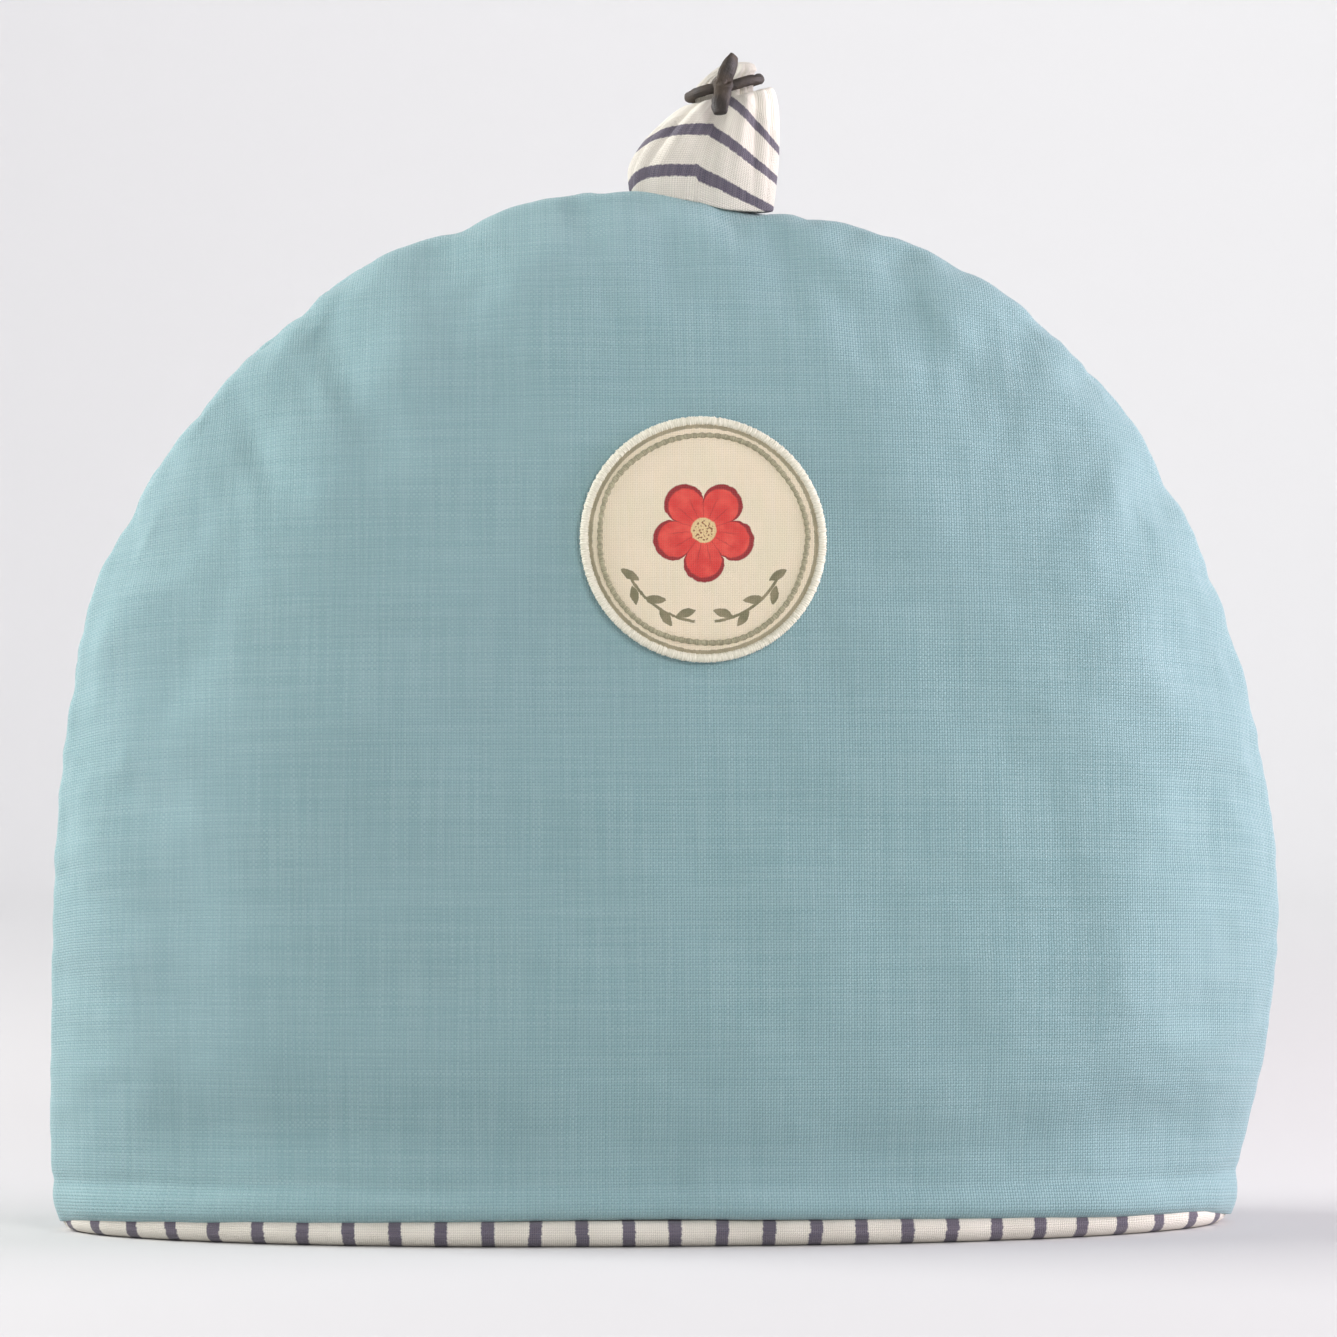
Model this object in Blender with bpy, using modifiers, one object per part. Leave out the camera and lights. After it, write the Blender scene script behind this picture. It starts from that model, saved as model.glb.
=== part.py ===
"""A padded tea cosy that stands open on its hem, with a striped topknot and a round patch.

Units are metres with +Z up. The origin is on the table under the middle of the cosy.
The front faces -Y. The seam that joins the front and back walls lies in the plane y = 0.
Tables give millimetres and degrees, and MM turns them into metres where they are used.
"""

import math
from collections import namedtuple

import bmesh
import bpy
from mathutils import Matrix, Vector

MM = 0.001

# ---------------------------------------------------------------- driving dimensions

CLEARANCE = 0.3 * MM        # between two pieces that touch
HEM_HEIGHT = 6.2 * MM       # striped edge under the blue walls
HEM_PROUD = 0.5 * MM        # how far the striped edge stands out from the walls
HEM_ROUNDING = 1.6 * MM
HEM_ROUNDING_STEPS = 2
HEM_SHARP_ANGLE = 50        # degrees: sharper edges than this are rounded
WALL_BASE = HEM_HEIGHT + CLEARANCE
WALL_DEPTH = 47.0 * MM      # seam plane to the front of the wall, in the middle of the hem
WALL_THICKNESS = 7.0 * MM   # two cloths with wadding between them
CROWN_FLATNESS = 2.4        # a higher value keeps the middle of a wall flatter
CROWN_EDGE = 0.6            # a lower value turns the wall into the seam more roundly

# The seam's outline, as its reach from the middle of the walls' lower edge.
# angle: degrees from +X towards +Z. reach: millimetres.
Outline = namedtuple("Outline", "angle reach")
OUTLINE = (
    Outline(0, 139.3),
    Outline(12, 149.1),
    Outline(24, 164.7),
    Outline(36, 181.4),
    Outline(48, 201.7),
    Outline(60, 223.3),
    Outline(72, 239.0),
    Outline(84, 244.1),
    Outline(96, 246.3),
    Outline(108, 239.4),
    Outline(120, 224.1),
    Outline(132, 206.0),
    Outline(144, 181.6),
    Outline(156, 163.4),
    Outline(168, 153.2),
    Outline(180, 150.0),
)
OUTLINE_STEP = 12

# Where puckers in the seam pull the outline in. angle and spread: degrees. depth: millimetres.
Pinch = namedtuple("Pinch", "angle depth spread")
PINCHES = (
    Pinch(55.3, 1.4, 2.2),
    Pinch(85.5, 1.6, 3.6),
    Pinch(102.5, 1.8, 2.6),
    Pinch(113.5, 0.8, 2.2),
    Pinch(128.5, 0.8, 2.0),
)

# Soft folds of a wall: strokes from one end to the other, seen from the front.
# x and z: ends in millimetres. bow: how far the middle stands off the straight line, to the
# left of the way from start to end. width: reach to each side. rise: ridge +, trough -.
Fold = namedtuple("Fold", "x_start z_start x_end z_end bow width rise")
FRONT_FOLDS = (
    Fold(-82, 226, -72, 194, 0, 8, -2.2),
    Fold(-106, 204, -97, 184, 0, 8, -2.0),
    Fold(-122, 140, -86, 208, 6, 11, -2.4),
    Fold(-70, 206, -30, 236, 4, 10, 1.4),
    Fold(34, 226, 72, 212, 2, 11, -2.4),
    Fold(26, 226, 52, 180, 8, 12, 1.4),
    Fold(84, 206, 118, 160, 6, 12, 2.0),
    Fold(122, 156, 132, 112, 3, 9, -1.8),
    Fold(104, 150, 112, 56, 6, 16, 1.8),
    Fold(-118, 150, -84, 122, 0, 14, 1.6),
    Fold(-128, 96, -116, 34, 4, 12, -1.6),
    Fold(-108, 25, -2, 21, 2, 9, -2.0),
    Fold(20, 21, 122, 27, -2, 9, -2.2),
    Fold(-30, 60, 70, 52, 6, 26, 1.2),
)
BACK_FOLDS = (
    Fold(-80, 224, -70, 196, 0, 9, -1.8),
    Fold(70, 226, 60, 192, 0, 9, -2.0),
    Fold(104, 196, 92, 168, 0, 9, -1.6),
    Fold(-118, 150, -92, 196, 5, 12, -2.0),
    Fold(96, 150, 122, 76, -6, 14, 1.8),
    Fold(-36, 214, 34, 216, 4, 12, -1.6),
    Fold(-116, 22, -12, 24, 2, 9, -2.2),
    Fold(10, 23, 118, 20, -2, 9, -2.0),
    Fold(-66, 92, 30, 74, 8, 26, 1.4),
)
FOLD_FADE = 12              # a higher power carries the folds closer to the seam
FOLD_TAPER = 1.5            # how far a fold runs on past its ends, in its own widths

# Grid lines of a wall, and how much closer they lie where the wall turns into the seam.
FRONT_GRID = (40, 24)
BACK_GRID = (32, 20)
GRID_CLOSING = 0.17
GRID_POWER = 5
GRID_MIDDLE = 170.0 * MM    # reach that spaces the grid lines round the middle of the hem
GRID_SETTLING = 3           # a higher power keeps that spacing closer to the middle
HEM_STATIONS = 30           # on each side of the hem
SEAT = 1.2 * CLEARANCE      # under a piece that follows a curved face
CREST_SEARCH = (200 * MM, 260 * MM)
CREST_HALVINGS = 40

# ------------------------------------------------------------------------- the patch

PATCH_X = 6.5 * MM
PATCH_Z = 167.0 * MM
PATCH_RADIUS = 29.5 * MM
PATCH_THICKNESS = 1.6 * MM
PATCH_RIM = 0.45            # thickness left at the rim, as a share of the whole
PATCH_ROUNDING = 16         # a higher power keeps the rounding closer to the rim
PATCH_RINGS = (0.28, 0.55, 0.8, 0.95, 1.0)
PATCH_SIDES = 36

# ------------------------------------------------------------------------ the topknot

# Rings of the gathered tab from its foot up, over the lobes, into the neck and out to the
# tip. height: millimetres over the table. left and right: x where the ring ends, with
# left_up and right_up for how far those ends stand over its middle. depth: half of its
# size along Y. gather: how strongly the pleats cut into it.
KnobRing = namedtuple("KnobRing", "height left right depth left_up right_up gather")
KNOB_FOOT = KnobRing(0.0, -9.2, 26.0, 4.2, 0.0, 0.0, 0.4)
KNOB_RINGS = (
    KnobRing(256.5, -9.4, 26.8, 7.0, 1.4, -2.2, 0.6),
    KnobRing(262.0, -7.4, 27.4, 9.0, 0.4, -1.4, 0.8),
    KnobRing(267.5, -4.2, 27.6, 9.8, -0.6, 0.2, 1.0),
    KnobRing(271.8, 0.0, 27.4, 9.2, -0.8, 2.4, 1.0),
    KnobRing(274.8, 3.8, 26.0, 7.6, -1.2, 3.6, 1.0),
    KnobRing(275.6, 6.0, 22.8, 5.8, -1.8, 2.0, 0.8),
    KnobRing(275.2, 7.0, 21.2, 4.7, -1.9, 1.9, 0.5),
    KnobRing(279.8, 7.0, 21.4, 4.6, -1.9, 1.9, 0.5),
    KnobRing(282.0, 9.8, 22.0, 4.2, -0.8, 0.8, 0.8),
    KnobRing(283.8, 12.6, 21.4, 2.4, -0.4, 0.4, 0.8),
)
KNOB_FOOT_RINGS = (0.35, 0.7, 1.0)
KNOB_SIDES = 36
KNOB_END_CURVE = 1.5        # a higher power bends a ring up or down nearer its ends

# Pleats round the topknot. angle: degrees from +X towards +Y. depth: share of the ring.
Pleat = namedtuple("Pleat", "angle depth spread")
KNOB_PLEATS = (
    Pleat(264, 0.34, 15),
    Pleat(306, 0.08, 12),
    Pleat(222, 0.10, 12),
    Pleat(92, 0.30, 16),
    Pleat(48, 0.08, 12),
    Pleat(140, 0.10, 13),
)

# ---------------------------------------------------------------------------- the tie

TIE_RADIUS = 1.3 * MM
TIE_X = 14.1 * MM
TIE_Z = 278.2 * MM
TIE_HALF_WIDTH = 9.0 * MM
TIE_HALF_DEPTH = 6.5 * MM
TIE_LEAN = 15.0                  # degrees that the loop rises towards +X
TIE_LOOP_SIDES = (20, 8)         # round the loop, round its cord
TIE_KNOT = (13.2, -7.8, 278.0)   # millimetres
TIE_KNOT_RADIUS = 2.4 * MM
TIE_KNOT_SIDES = (12, 8)
WELD = 0.01 * MM
# The two free ends from the knot out, as points in millimetres.
TIE_ENDS = (
    ((13.2, -8.2, 278.0), (14.4, -8.8, 281.6), (16.0, -7.6, 285.0)),
    ((13.2, -8.2, 278.0), (12.5, -10.9, 274.6), (12.0, -12.6, 270.4)),
)

# ------------------------------------------------------------------------ shape rules


def between(before, start, end, after, share):
    """A smooth value at share (0 to 1) of the way from start to end."""
    slope_start = (end - before) / 2
    slope_end = (after - start) / 2
    square = share * share
    cube = square * share
    return (
        (2 * cube - 3 * square + 1) * start
        + (cube - 2 * square + share) * slope_start
        + (3 * square - 2 * cube) * end
        + (cube - square) * slope_end
    )


def seam_reach(angle):
    """Distance in metres from the middle of the walls' lower edge to the seam."""
    place = min(max(angle, 0.0), 180.0) / OUTLINE_STEP
    last = len(OUTLINE) - 1
    row = min(int(place), last - 1)
    before = OUTLINE[max(row - 1, 0)].reach
    after = OUTLINE[min(row + 2, last)].reach
    reach = between(before, OUTLINE[row].reach, OUTLINE[row + 1].reach, after, place - row)
    for pinch in PINCHES:
        reach -= pinch.depth * math.exp(-(((angle - pinch.angle) / pinch.spread) ** 2))
    return reach * MM


def fold_height(fold, x, z):
    """How far one fold moves the wall outward at (x, z), in metres."""
    start = Vector((fold.x_start, fold.z_start)) * MM
    along = Vector((fold.x_end, fold.z_end)) * MM - start
    length = along.length
    along.normalize()
    offset = Vector((x, z)) - start
    travelled = offset.dot(along)
    share = min(max(travelled / length, 0.0), 1.0)
    bowed = 4 * share * (1 - share) * fold.bow * MM
    aside = along.x * offset.y - along.y * offset.x - bowed
    past_end = travelled - share * length
    width = fold.width * MM
    across = aside / width
    beyond = past_end / (FOLD_TAPER * width)
    return fold.rise * MM * math.exp(-across * across - beyond * beyond)


def wall_depth(x, z, folds, inset=0.0):
    """Distance from the seam plane to the wall's face at (x, z), or to a face inset in it."""
    height = z - WALL_BASE
    angle = math.degrees(math.atan2(height, x)) if height > 0 else (0.0 if x > 0 else 180.0)
    share = math.hypot(x, height) / (seam_reach(angle) - inset)
    if share >= 1:
        return 0.0
    crown = (1 - share ** CROWN_FLATNESS) ** CROWN_EDGE
    folded = sum(fold_height(fold, x, z) for fold in folds)
    return (WALL_DEPTH - inset) * crown + folded * (1 - share ** FOLD_FADE)


def crest_height(x, y):
    """Height of the outer face over the point (x, y) near the top of the cosy."""
    folds = FRONT_FOLDS if y < 0 else BACK_FOLDS
    low, high = CREST_SEARCH
    for _ in range(CREST_HALVINGS):
        middle = (low + high) / 2
        if wall_depth(x, middle, folds) > abs(y):
            low = middle
        else:
            high = middle
    return low


def closing(share):
    """Moves evenly spaced grid lines together towards +1 and -1, where the wall turns."""
    return share * (1 + GRID_CLOSING - GRID_CLOSING * abs(share) ** GRID_POWER)


# -------------------------------------------------------------------------- helpers


def clear_scene():
    for item in list(bpy.data.objects):
        bpy.data.objects.remove(item, do_unlink=True)


def cloth_material(name, colour, roughness):
    material = bpy.data.materials.new(name)
    material.use_nodes = True
    shader = material.node_tree.nodes["Principled BSDF"]
    shader.inputs["Base Color"].default_value = (*colour, 1.0)
    shader.inputs["Roughness"].default_value = roughness
    shader.inputs["Metallic"].default_value = 0.0
    material.diffuse_color = (*colour, 1.0)
    return material


def finish_object(name, bm, material, collection):
    bmesh.ops.recalc_face_normals(bm, faces=bm.faces)
    if bm.calc_volume(signed=True) < 0:
        bmesh.ops.reverse_faces(bm, faces=bm.faces)
    mesh = bpy.data.meshes.new(name)
    bm.to_mesh(mesh)
    bm.free()
    mesh.shade_smooth()
    mesh.materials.append(material)
    item = bpy.data.objects.new(name, mesh)
    collection.objects.link(item)
    return item


def loop_of(bm, points):
    """Joins points into a closed ring of edges."""
    verts = [bm.verts.new(point) for point in points]
    return [bm.edges.new((verts[i - 1], verts[i])) for i in range(len(verts))]


def bridge(bm, first, second):
    bmesh.ops.bridge_loops(bm, edges=first + second)


def fan(bm, loop, centre):
    """Closes a ring of edges with triangles that meet in one point."""
    tip = bm.verts.new(centre)
    for edge in loop:
        bm.faces.new((*edge.verts, tip))


# ------------------------------------------------------------------------- the walls


def wall_point(across, up, inner, side, folds):
    """Bends a point of a flat slab onto the wall.

    across runs from -1 to 1 along the hem and up from 0 at the hem to 1 at the seam. inner
    is 0 on the outer face and 1 on the inner one. side is -1 in front and +1 behind.
    """
    level = across * math.sqrt(1 - up * up / 2)
    rise = up * math.sqrt(1 - across * across / 2)
    share = min(math.hypot(level, rise), 1.0)
    angle = math.degrees(math.atan2(rise, level))
    inset = inner * WALL_THICKNESS
    edge = seam_reach(angle) - inset
    settled = 1 - (1 - share * share) ** GRID_SETTLING
    distance = share * (GRID_MIDDLE + (edge - GRID_MIDDLE) * settled)
    x = distance * math.cos(math.radians(angle))
    z = WALL_BASE + distance * math.sin(math.radians(angle))
    depth = wall_depth(x, z, folds, inset)
    return Vector((x, side * (depth + CLEARANCE / 2), z))


def make_wall(name, side, folds, grid, material, collection):
    bm = bmesh.new()
    bmesh.ops.create_grid(bm, x_segments=grid[0], y_segments=grid[1], size=1.0)
    doubled = bmesh.ops.extrude_face_region(bm, geom=bm.faces[:], use_keep_orig=True)
    inner_verts = [item for item in doubled["geom"] if isinstance(item, bmesh.types.BMVert)]
    bmesh.ops.translate(bm, verts=inner_verts, vec=(0, 0, 1))
    for vert in bm.verts:
        across = closing(vert.co.x)
        up = closing((vert.co.y + 1) / 2)
        vert.co = wall_point(across, up, vert.co.z, side, folds)
    return finish_object(name, bm, material, collection)


# --------------------------------------------------------------------------- the hem


def hem_loop(offset):
    """Points round the hem, offset outward from the walls' outer face."""
    points = []
    for side, folds in ((-1, FRONT_FOLDS), (1, BACK_FOLDS)):
        for i in range(HEM_STATIONS):
            share = side * math.cos(math.pi * i / HEM_STATIONS)
            reach = seam_reach(0.0 if share > 0 else 180.0)
            depth = wall_depth(share * reach, WALL_BASE, folds)
            ratio = offset / WALL_DEPTH
            points.append(Vector((share * (reach + offset), side * depth * (1 + ratio), 0)))
    return points


def make_hem(material, collection):
    bm = bmesh.new()
    outer = loop_of(bm, hem_loop(HEM_PROUD))
    inner = loop_of(bm, hem_loop(-WALL_THICKNESS - HEM_PROUD))
    bridge(bm, outer, inner)
    raised = bmesh.ops.extrude_face_region(bm, geom=bm.faces[:], use_keep_orig=True)
    top_verts = [item for item in raised["geom"] if isinstance(item, bmesh.types.BMVert)]
    bmesh.ops.translate(bm, verts=top_verts, vec=(0, 0, HEM_HEIGHT))
    item = finish_object("hem_edge", bm, material, collection)
    rounding = item.modifiers.new("rounded edges", "BEVEL")
    rounding.width = HEM_ROUNDING
    rounding.segments = HEM_ROUNDING_STEPS
    rounding.limit_method = "ANGLE"
    rounding.angle_limit = math.radians(HEM_SHARP_ANGLE)
    return item


# ------------------------------------------------------------------------- the patch


def patch_ring(share, lift):
    """A ring of the patch at a share of its radius, lifted off the front wall."""
    points = []
    for i in range(PATCH_SIDES):
        angle = 2 * math.pi * i / PATCH_SIDES
        x = PATCH_X + share * PATCH_RADIUS * math.cos(angle)
        z = PATCH_Z + share * PATCH_RADIUS * math.sin(angle)
        depth = wall_depth(x, z, FRONT_FOLDS) + CLEARANCE / 2
        points.append(Vector((x, -(depth + lift), z)))
    return points


def make_patch(material, collection):
    bm = bmesh.new()
    layers = [(share, SEAT) for share in PATCH_RINGS]
    for share in reversed(PATCH_RINGS):
        rounded = max(math.sqrt(1 - share ** PATCH_ROUNDING), PATCH_RIM)
        layers.append((share, SEAT + rounded * PATCH_THICKNESS))
    loops = [loop_of(bm, patch_ring(share, lift)) for share, lift in layers]
    for lower, upper in zip(loops, loops[1:]):
        bridge(bm, lower, upper)
    fan(bm, loops[0], patch_ring(0.0, SEAT)[0])
    fan(bm, loops[-1], patch_ring(0.0, SEAT + PATCH_THICKNESS)[0])
    return finish_object("patch", bm, material, collection)


# ----------------------------------------------------------------------- the topknot


def pleated(ring, degrees):
    """Share of the ring's full size at an angle round it."""
    size = 1.0
    for pleat in KNOB_PLEATS:
        apart = (degrees - pleat.angle + 180) % 360 - 180
        size -= ring.gather * pleat.depth * math.exp(-((apart / pleat.spread) ** 2))
    return size


def knob_ring(ring, scale=1.0):
    """Points (x, y, height) of one ring of the topknot."""
    centre = (ring.left + ring.right) / 2
    half_width = (ring.right - ring.left) / 2
    points = []
    for i in range(KNOB_SIDES):
        degrees = 360 * i / KNOB_SIDES
        size = scale * pleated(ring, degrees)
        along = math.cos(math.radians(degrees))
        x = centre + size * half_width * along
        y = size * ring.depth * math.sin(math.radians(degrees))
        end_up = ring.right_up if along > 0 else ring.left_up
        height = ring.height + end_up * abs(along) ** KNOB_END_CURVE
        points.append(Vector((x, y, height)) * MM)
    return points


def seated(point):
    """Drops a point of the topknot's foot onto the top of the walls."""
    return Vector((point.x, point.y, crest_height(point.x, point.y) + SEAT))


def make_topknot(material, collection):
    bm = bmesh.new()
    feet = [[seated(p) for p in knob_ring(KNOB_FOOT, scale)] for scale in KNOB_FOOT_RINGS]
    rings = feet + [knob_ring(ring) for ring in KNOB_RINGS]
    loops = [loop_of(bm, points) for points in rings]
    for lower, upper in zip(loops, loops[1:]):
        bridge(bm, lower, upper)
    foot_centre = Vector(((KNOB_FOOT.left + KNOB_FOOT.right) / 2 * MM, 0, 0))
    fan(bm, loops[0], seated(foot_centre))
    tip = sum(rings[-1], Vector()) / KNOB_SIDES
    fan(bm, loops[-1], tip)
    return finish_object("topknot", bm, material, collection)


# ---------------------------------------------------------------------------- the tie


def mesh_of(item, collection):
    """Turns a curve object into a mesh object with welded ends."""
    graph = bpy.context.evaluated_depsgraph_get()
    mesh = bpy.data.meshes.new_from_object(item.evaluated_get(graph))
    bm = bmesh.new()
    bm.from_mesh(mesh)
    bmesh.ops.remove_doubles(bm, verts=bm.verts, dist=WELD)
    bm.to_mesh(mesh)
    bm.free()
    solid = bpy.data.objects.new(item.name + " solid", mesh)
    solid.matrix_world = item.matrix_world
    collection.objects.link(solid)
    bpy.data.objects.remove(item, do_unlink=True)
    return solid


def tie_end(index, points, collection):
    curve = bpy.data.curves.new(f"tie end {index}", "CURVE")
    curve.dimensions = "3D"
    curve.bevel_depth = TIE_RADIUS
    curve.bevel_resolution = 1
    curve.use_fill_caps = True
    spline = curve.splines.new("POLY")
    spline.points.add(len(points) - 1)
    for place, point in zip(spline.points, points):
        place.co = (*(Vector(point) * MM), 1.0)
    item = bpy.data.objects.new(curve.name, curve)
    collection.objects.link(item)
    bpy.context.view_layer.update()
    return mesh_of(item, collection)


def add_union(item, tool):
    tool.hide_render = True
    tool.display_type = "WIRE"
    union = item.modifiers.new(tool.name, "BOOLEAN")
    union.operation = "UNION"
    union.object = tool


def make_tie(material, collection, guides):
    bpy.ops.mesh.primitive_torus_add(
        major_segments=TIE_LOOP_SIDES[0],
        minor_segments=TIE_LOOP_SIDES[1],
        major_radius=TIE_HALF_DEPTH,
        minor_radius=TIE_RADIUS,
        location=(TIE_X, 0, TIE_Z),
    )
    item = bpy.context.object
    item.name = "topknot_tie"
    item.data.name = "topknot_tie"
    for owner in list(item.users_collection):
        owner.objects.unlink(item)
    collection.objects.link(item)
    lean = Matrix.Rotation(-math.radians(TIE_LEAN), 3, "Y")
    for vert in item.data.vertices:
        vert.co.x += (TIE_HALF_WIDTH - TIE_HALF_DEPTH) * vert.co.xy.normalized().x
        vert.co.rotate(lean)
    item.data.shade_smooth()
    item.data.materials.append(material)

    bm = bmesh.new()
    around, up = TIE_KNOT_SIDES
    bmesh.ops.create_uvsphere(bm, u_segments=around, v_segments=up, radius=TIE_KNOT_RADIUS)
    bmesh.ops.translate(bm, verts=bm.verts, vec=Vector(TIE_KNOT) * MM)
    add_union(item, finish_object("tie knot", bm, material, guides))
    for index, points in enumerate(TIE_ENDS):
        add_union(item, tie_end(index, points, guides))
    return item


# --------------------------------------------------------------------------- the part


def main():
    clear_scene()
    cosy = bpy.data.collections.new("tea_cosy")
    guides = bpy.data.collections.new("guides")
    bpy.context.scene.collection.children.link(cosy)
    bpy.context.scene.collection.children.link(guides)

    blue = (0.27, 0.40, 0.44)
    stripes = (0.72, 0.70, 0.62)
    front_cloth = cloth_material("blue front cloth", blue, 0.9)
    back_cloth = cloth_material("blue back cloth", blue, 0.9)
    hem_cloth = cloth_material("striped hem cloth", stripes, 0.9)
    knob_cloth = cloth_material("striped topknot cloth", stripes, 0.9)
    patch_cloth = cloth_material("cream patch cloth", (0.82, 0.72, 0.55), 0.85)
    thong = cloth_material("brown thong", (0.06, 0.04, 0.03), 0.7)

    make_wall("front_panel", -1, FRONT_FOLDS, FRONT_GRID, front_cloth, cosy)
    make_wall("back_panel", 1, BACK_FOLDS, BACK_GRID, back_cloth, cosy)
    make_hem(hem_cloth, cosy)
    make_patch(patch_cloth, cosy)
    make_topknot(knob_cloth, cosy)
    make_tie(thong, cosy, guides)


main()
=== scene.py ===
"""Looks of a padded tea cosy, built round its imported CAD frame.

Units are metres with +Z up, and the front faces -Y. Tables give millimetres and degrees.
The shape rules are those of the CAD part, and finer creases and stitches come on top.
"""

import math

import bmesh
import bpy
import numpy as np
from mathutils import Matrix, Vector


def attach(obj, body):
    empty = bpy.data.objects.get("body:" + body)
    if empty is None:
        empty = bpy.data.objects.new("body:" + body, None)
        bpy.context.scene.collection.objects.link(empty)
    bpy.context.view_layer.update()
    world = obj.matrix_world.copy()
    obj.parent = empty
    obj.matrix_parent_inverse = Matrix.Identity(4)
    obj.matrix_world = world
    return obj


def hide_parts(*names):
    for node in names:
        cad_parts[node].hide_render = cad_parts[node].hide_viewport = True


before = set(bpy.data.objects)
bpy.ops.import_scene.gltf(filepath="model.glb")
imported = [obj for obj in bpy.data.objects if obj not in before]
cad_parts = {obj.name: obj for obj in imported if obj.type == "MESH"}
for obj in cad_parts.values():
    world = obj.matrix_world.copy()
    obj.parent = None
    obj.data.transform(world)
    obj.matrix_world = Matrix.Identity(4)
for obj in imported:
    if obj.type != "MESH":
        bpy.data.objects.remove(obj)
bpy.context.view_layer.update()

MM = 0.001
TAU = 2 * math.pi


def bell(value, middle, spread):
    return np.exp(-(((value - middle) / spread) ** 2))


def waves(rise, seed, count, shortest, longest, *coordinates):
    """Soft unevenness of about -rise to rise: a sum of sines in fixed random directions."""
    draw = np.random.default_rng(seed)
    total = 0
    for _ in range(count):
        heading = draw.normal(size=len(coordinates))
        heading /= np.linalg.norm(heading)
        length = draw.uniform(shortest, longest)
        phase = draw.uniform(0, TAU)
        along = sum(h * c for h, c in zip(heading, coordinates))
        total = total + np.sin(TAU * along / length + phase)
    return rise * (total / math.sqrt(count))


def curve_between(before, start, end, after, share):
    """A smooth curve from start to end, sloped by the points before and after them."""
    square, cube = share ** 2, share ** 3
    return (
        (2 * cube - 3 * square + 1) * start
        + (cube - 2 * square + share) * (end - before) / 2
        + (3 * square - 2 * cube) * end
        + (cube - square) * (after - start) / 2
    )


def lengths_along(line):
    """The length from a line's start to each of its points."""
    steps = np.linalg.norm(np.diff(line, axis=0), axis=1)
    return np.concatenate(([0], np.cumsum(steps)))


def turns(count, more=0):
    """Angles evenly round a circle, and a few more past its end."""
    return TAU * np.arange(count + more) / count


def between(degrees, angle):
    """Degrees from an angle, from -180 to 180."""
    return (degrees - angle + 180) % 360 - 180


# ---- shape of the walls

HEM_HEIGHT = 6.2
WALL_BASE = 6.5
WALL_DEPTH = 47.0
WALL_THICKNESS = 7.0
HEM_PROUD = 0.5
CROWN_FLATNESS = 2.4
CROWN_EDGE = 0.6
OUTLINE_STEP = 12  # degrees between two radii of the outline, from the right end
OUTLINE = np.array((
    139.3, 149.1, 164.7, 181.4, 201.7, 223.3, 239.0, 244.1,
    246.3, 239.4, 224.1, 206.0, 181.6, 163.4, 153.2, 150.0,
))
# angle, depth, spread
PINCHES = (
    (55.3, 1.4, 2.2), (85.5, 1.6, 3.6),
    (102.5, 1.8, 2.6), (113.5, 0.8, 2.2),
    (128.5, 0.8, 2.0),
)
# x_start, z_start, x_end, z_end, bow, width, rise
FRONT_FOLDS = (
    (-82, 226, -72, 194, 0, 8, -2.2), (-106, 204, -97, 184, 0, 8, -2.0),
    (-122, 140, -86, 208, 6, 11, -2.4), (-70, 206, -30, 236, 4, 10, 1.4),
    (34, 226, 72, 212, 2, 11, -2.4), (26, 226, 52, 180, 8, 12, 1.4),
    (84, 206, 118, 160, 6, 12, 2.0), (122, 156, 132, 112, 3, 9, -1.8),
    (104, 150, 112, 56, 6, 16, 1.8), (-118, 150, -84, 122, 0, 14, 1.6),
    (-128, 96, -116, 34, 4, 12, -1.6), (-108, 25, -2, 21, 2, 9, -2.0),
    (20, 21, 122, 27, -2, 9, -2.2), (-30, 60, 70, 52, 6, 26, 1.2),
)
BACK_FOLDS = (
    (-80, 224, -70, 196, 0, 9, -1.8), (70, 226, 60, 192, 0, 9, -2.0),
    (104, 196, 92, 168, 0, 9, -1.6), (-118, 150, -92, 196, 5, 12, -2.0),
    (96, 150, 122, 76, -6, 14, 1.8), (-36, 214, 34, 216, 4, 12, -1.6),
    (-116, 22, -12, 24, 2, 9, -2.2), (10, 23, 118, 20, -2, 9, -2.0),
    (-66, 92, 30, 74, 8, 26, 1.4),
)
# Finer creases that the CAD leaves out, in the same columns.
FRONT_CREASES = (
    (-86, 222, -78, 204, -1, 3.4, -0.6), (-80, 223, -72, 206, -1, 4.0, 0.5),
    (-91, 217, -83, 198, 1, 3.4, 0.6), (-95, 212, -87, 199, 1, 2.6, -0.7),
    (-106, 203, -97, 182, -1, 3.0, -0.8), (-101, 206, -93, 190, -1, 3.0, 0.6),
    (-114, 190, -104, 176, 1, 3.2, -0.7), (-106, 158, -119, 130, 1, 4.6, -0.6),
    (-112, 164, -100, 178, 1, 4.0, 0.5), (-122, 150, -110, 140, 1, 3.4, -0.5),
    (-60, 230, -52, 212, 0, 3.2, -0.8), (-44, 235, -38, 220, 0, 3.6, -0.5),
    (-20, 240, -14, 222, 0, 4.2, -0.5), (36, 231, 46, 214, 1, 3.6, -0.9),
    (46, 224, 68, 211, 1, 6.5, -1.0), (60, 227, 62, 205, 1, 3.0, -0.7),
    (66, 222, 82, 204, -1, 3.8, 0.7), (84, 208, 78, 190, 1, 3.4, -0.5),
    (104, 186, 93, 172, 1, 3.4, -0.55), (118, 164, 104, 152, 1, 3.4, -0.5),
    (-134, 110, -120, 103, 1, 3.8, -0.7), (-138, 62, -124, 57, -1, 4.0, -0.6),
    (132, 98, 118, 90, 1, 4.0, -0.8), (128, 52, 112, 50, -1, 4.2, -0.6),
    (112, 122, 126, 104, 2, 6.5, -0.9), (98, 96, 108, 60, 2, 7.0, 0.6),
)
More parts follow.
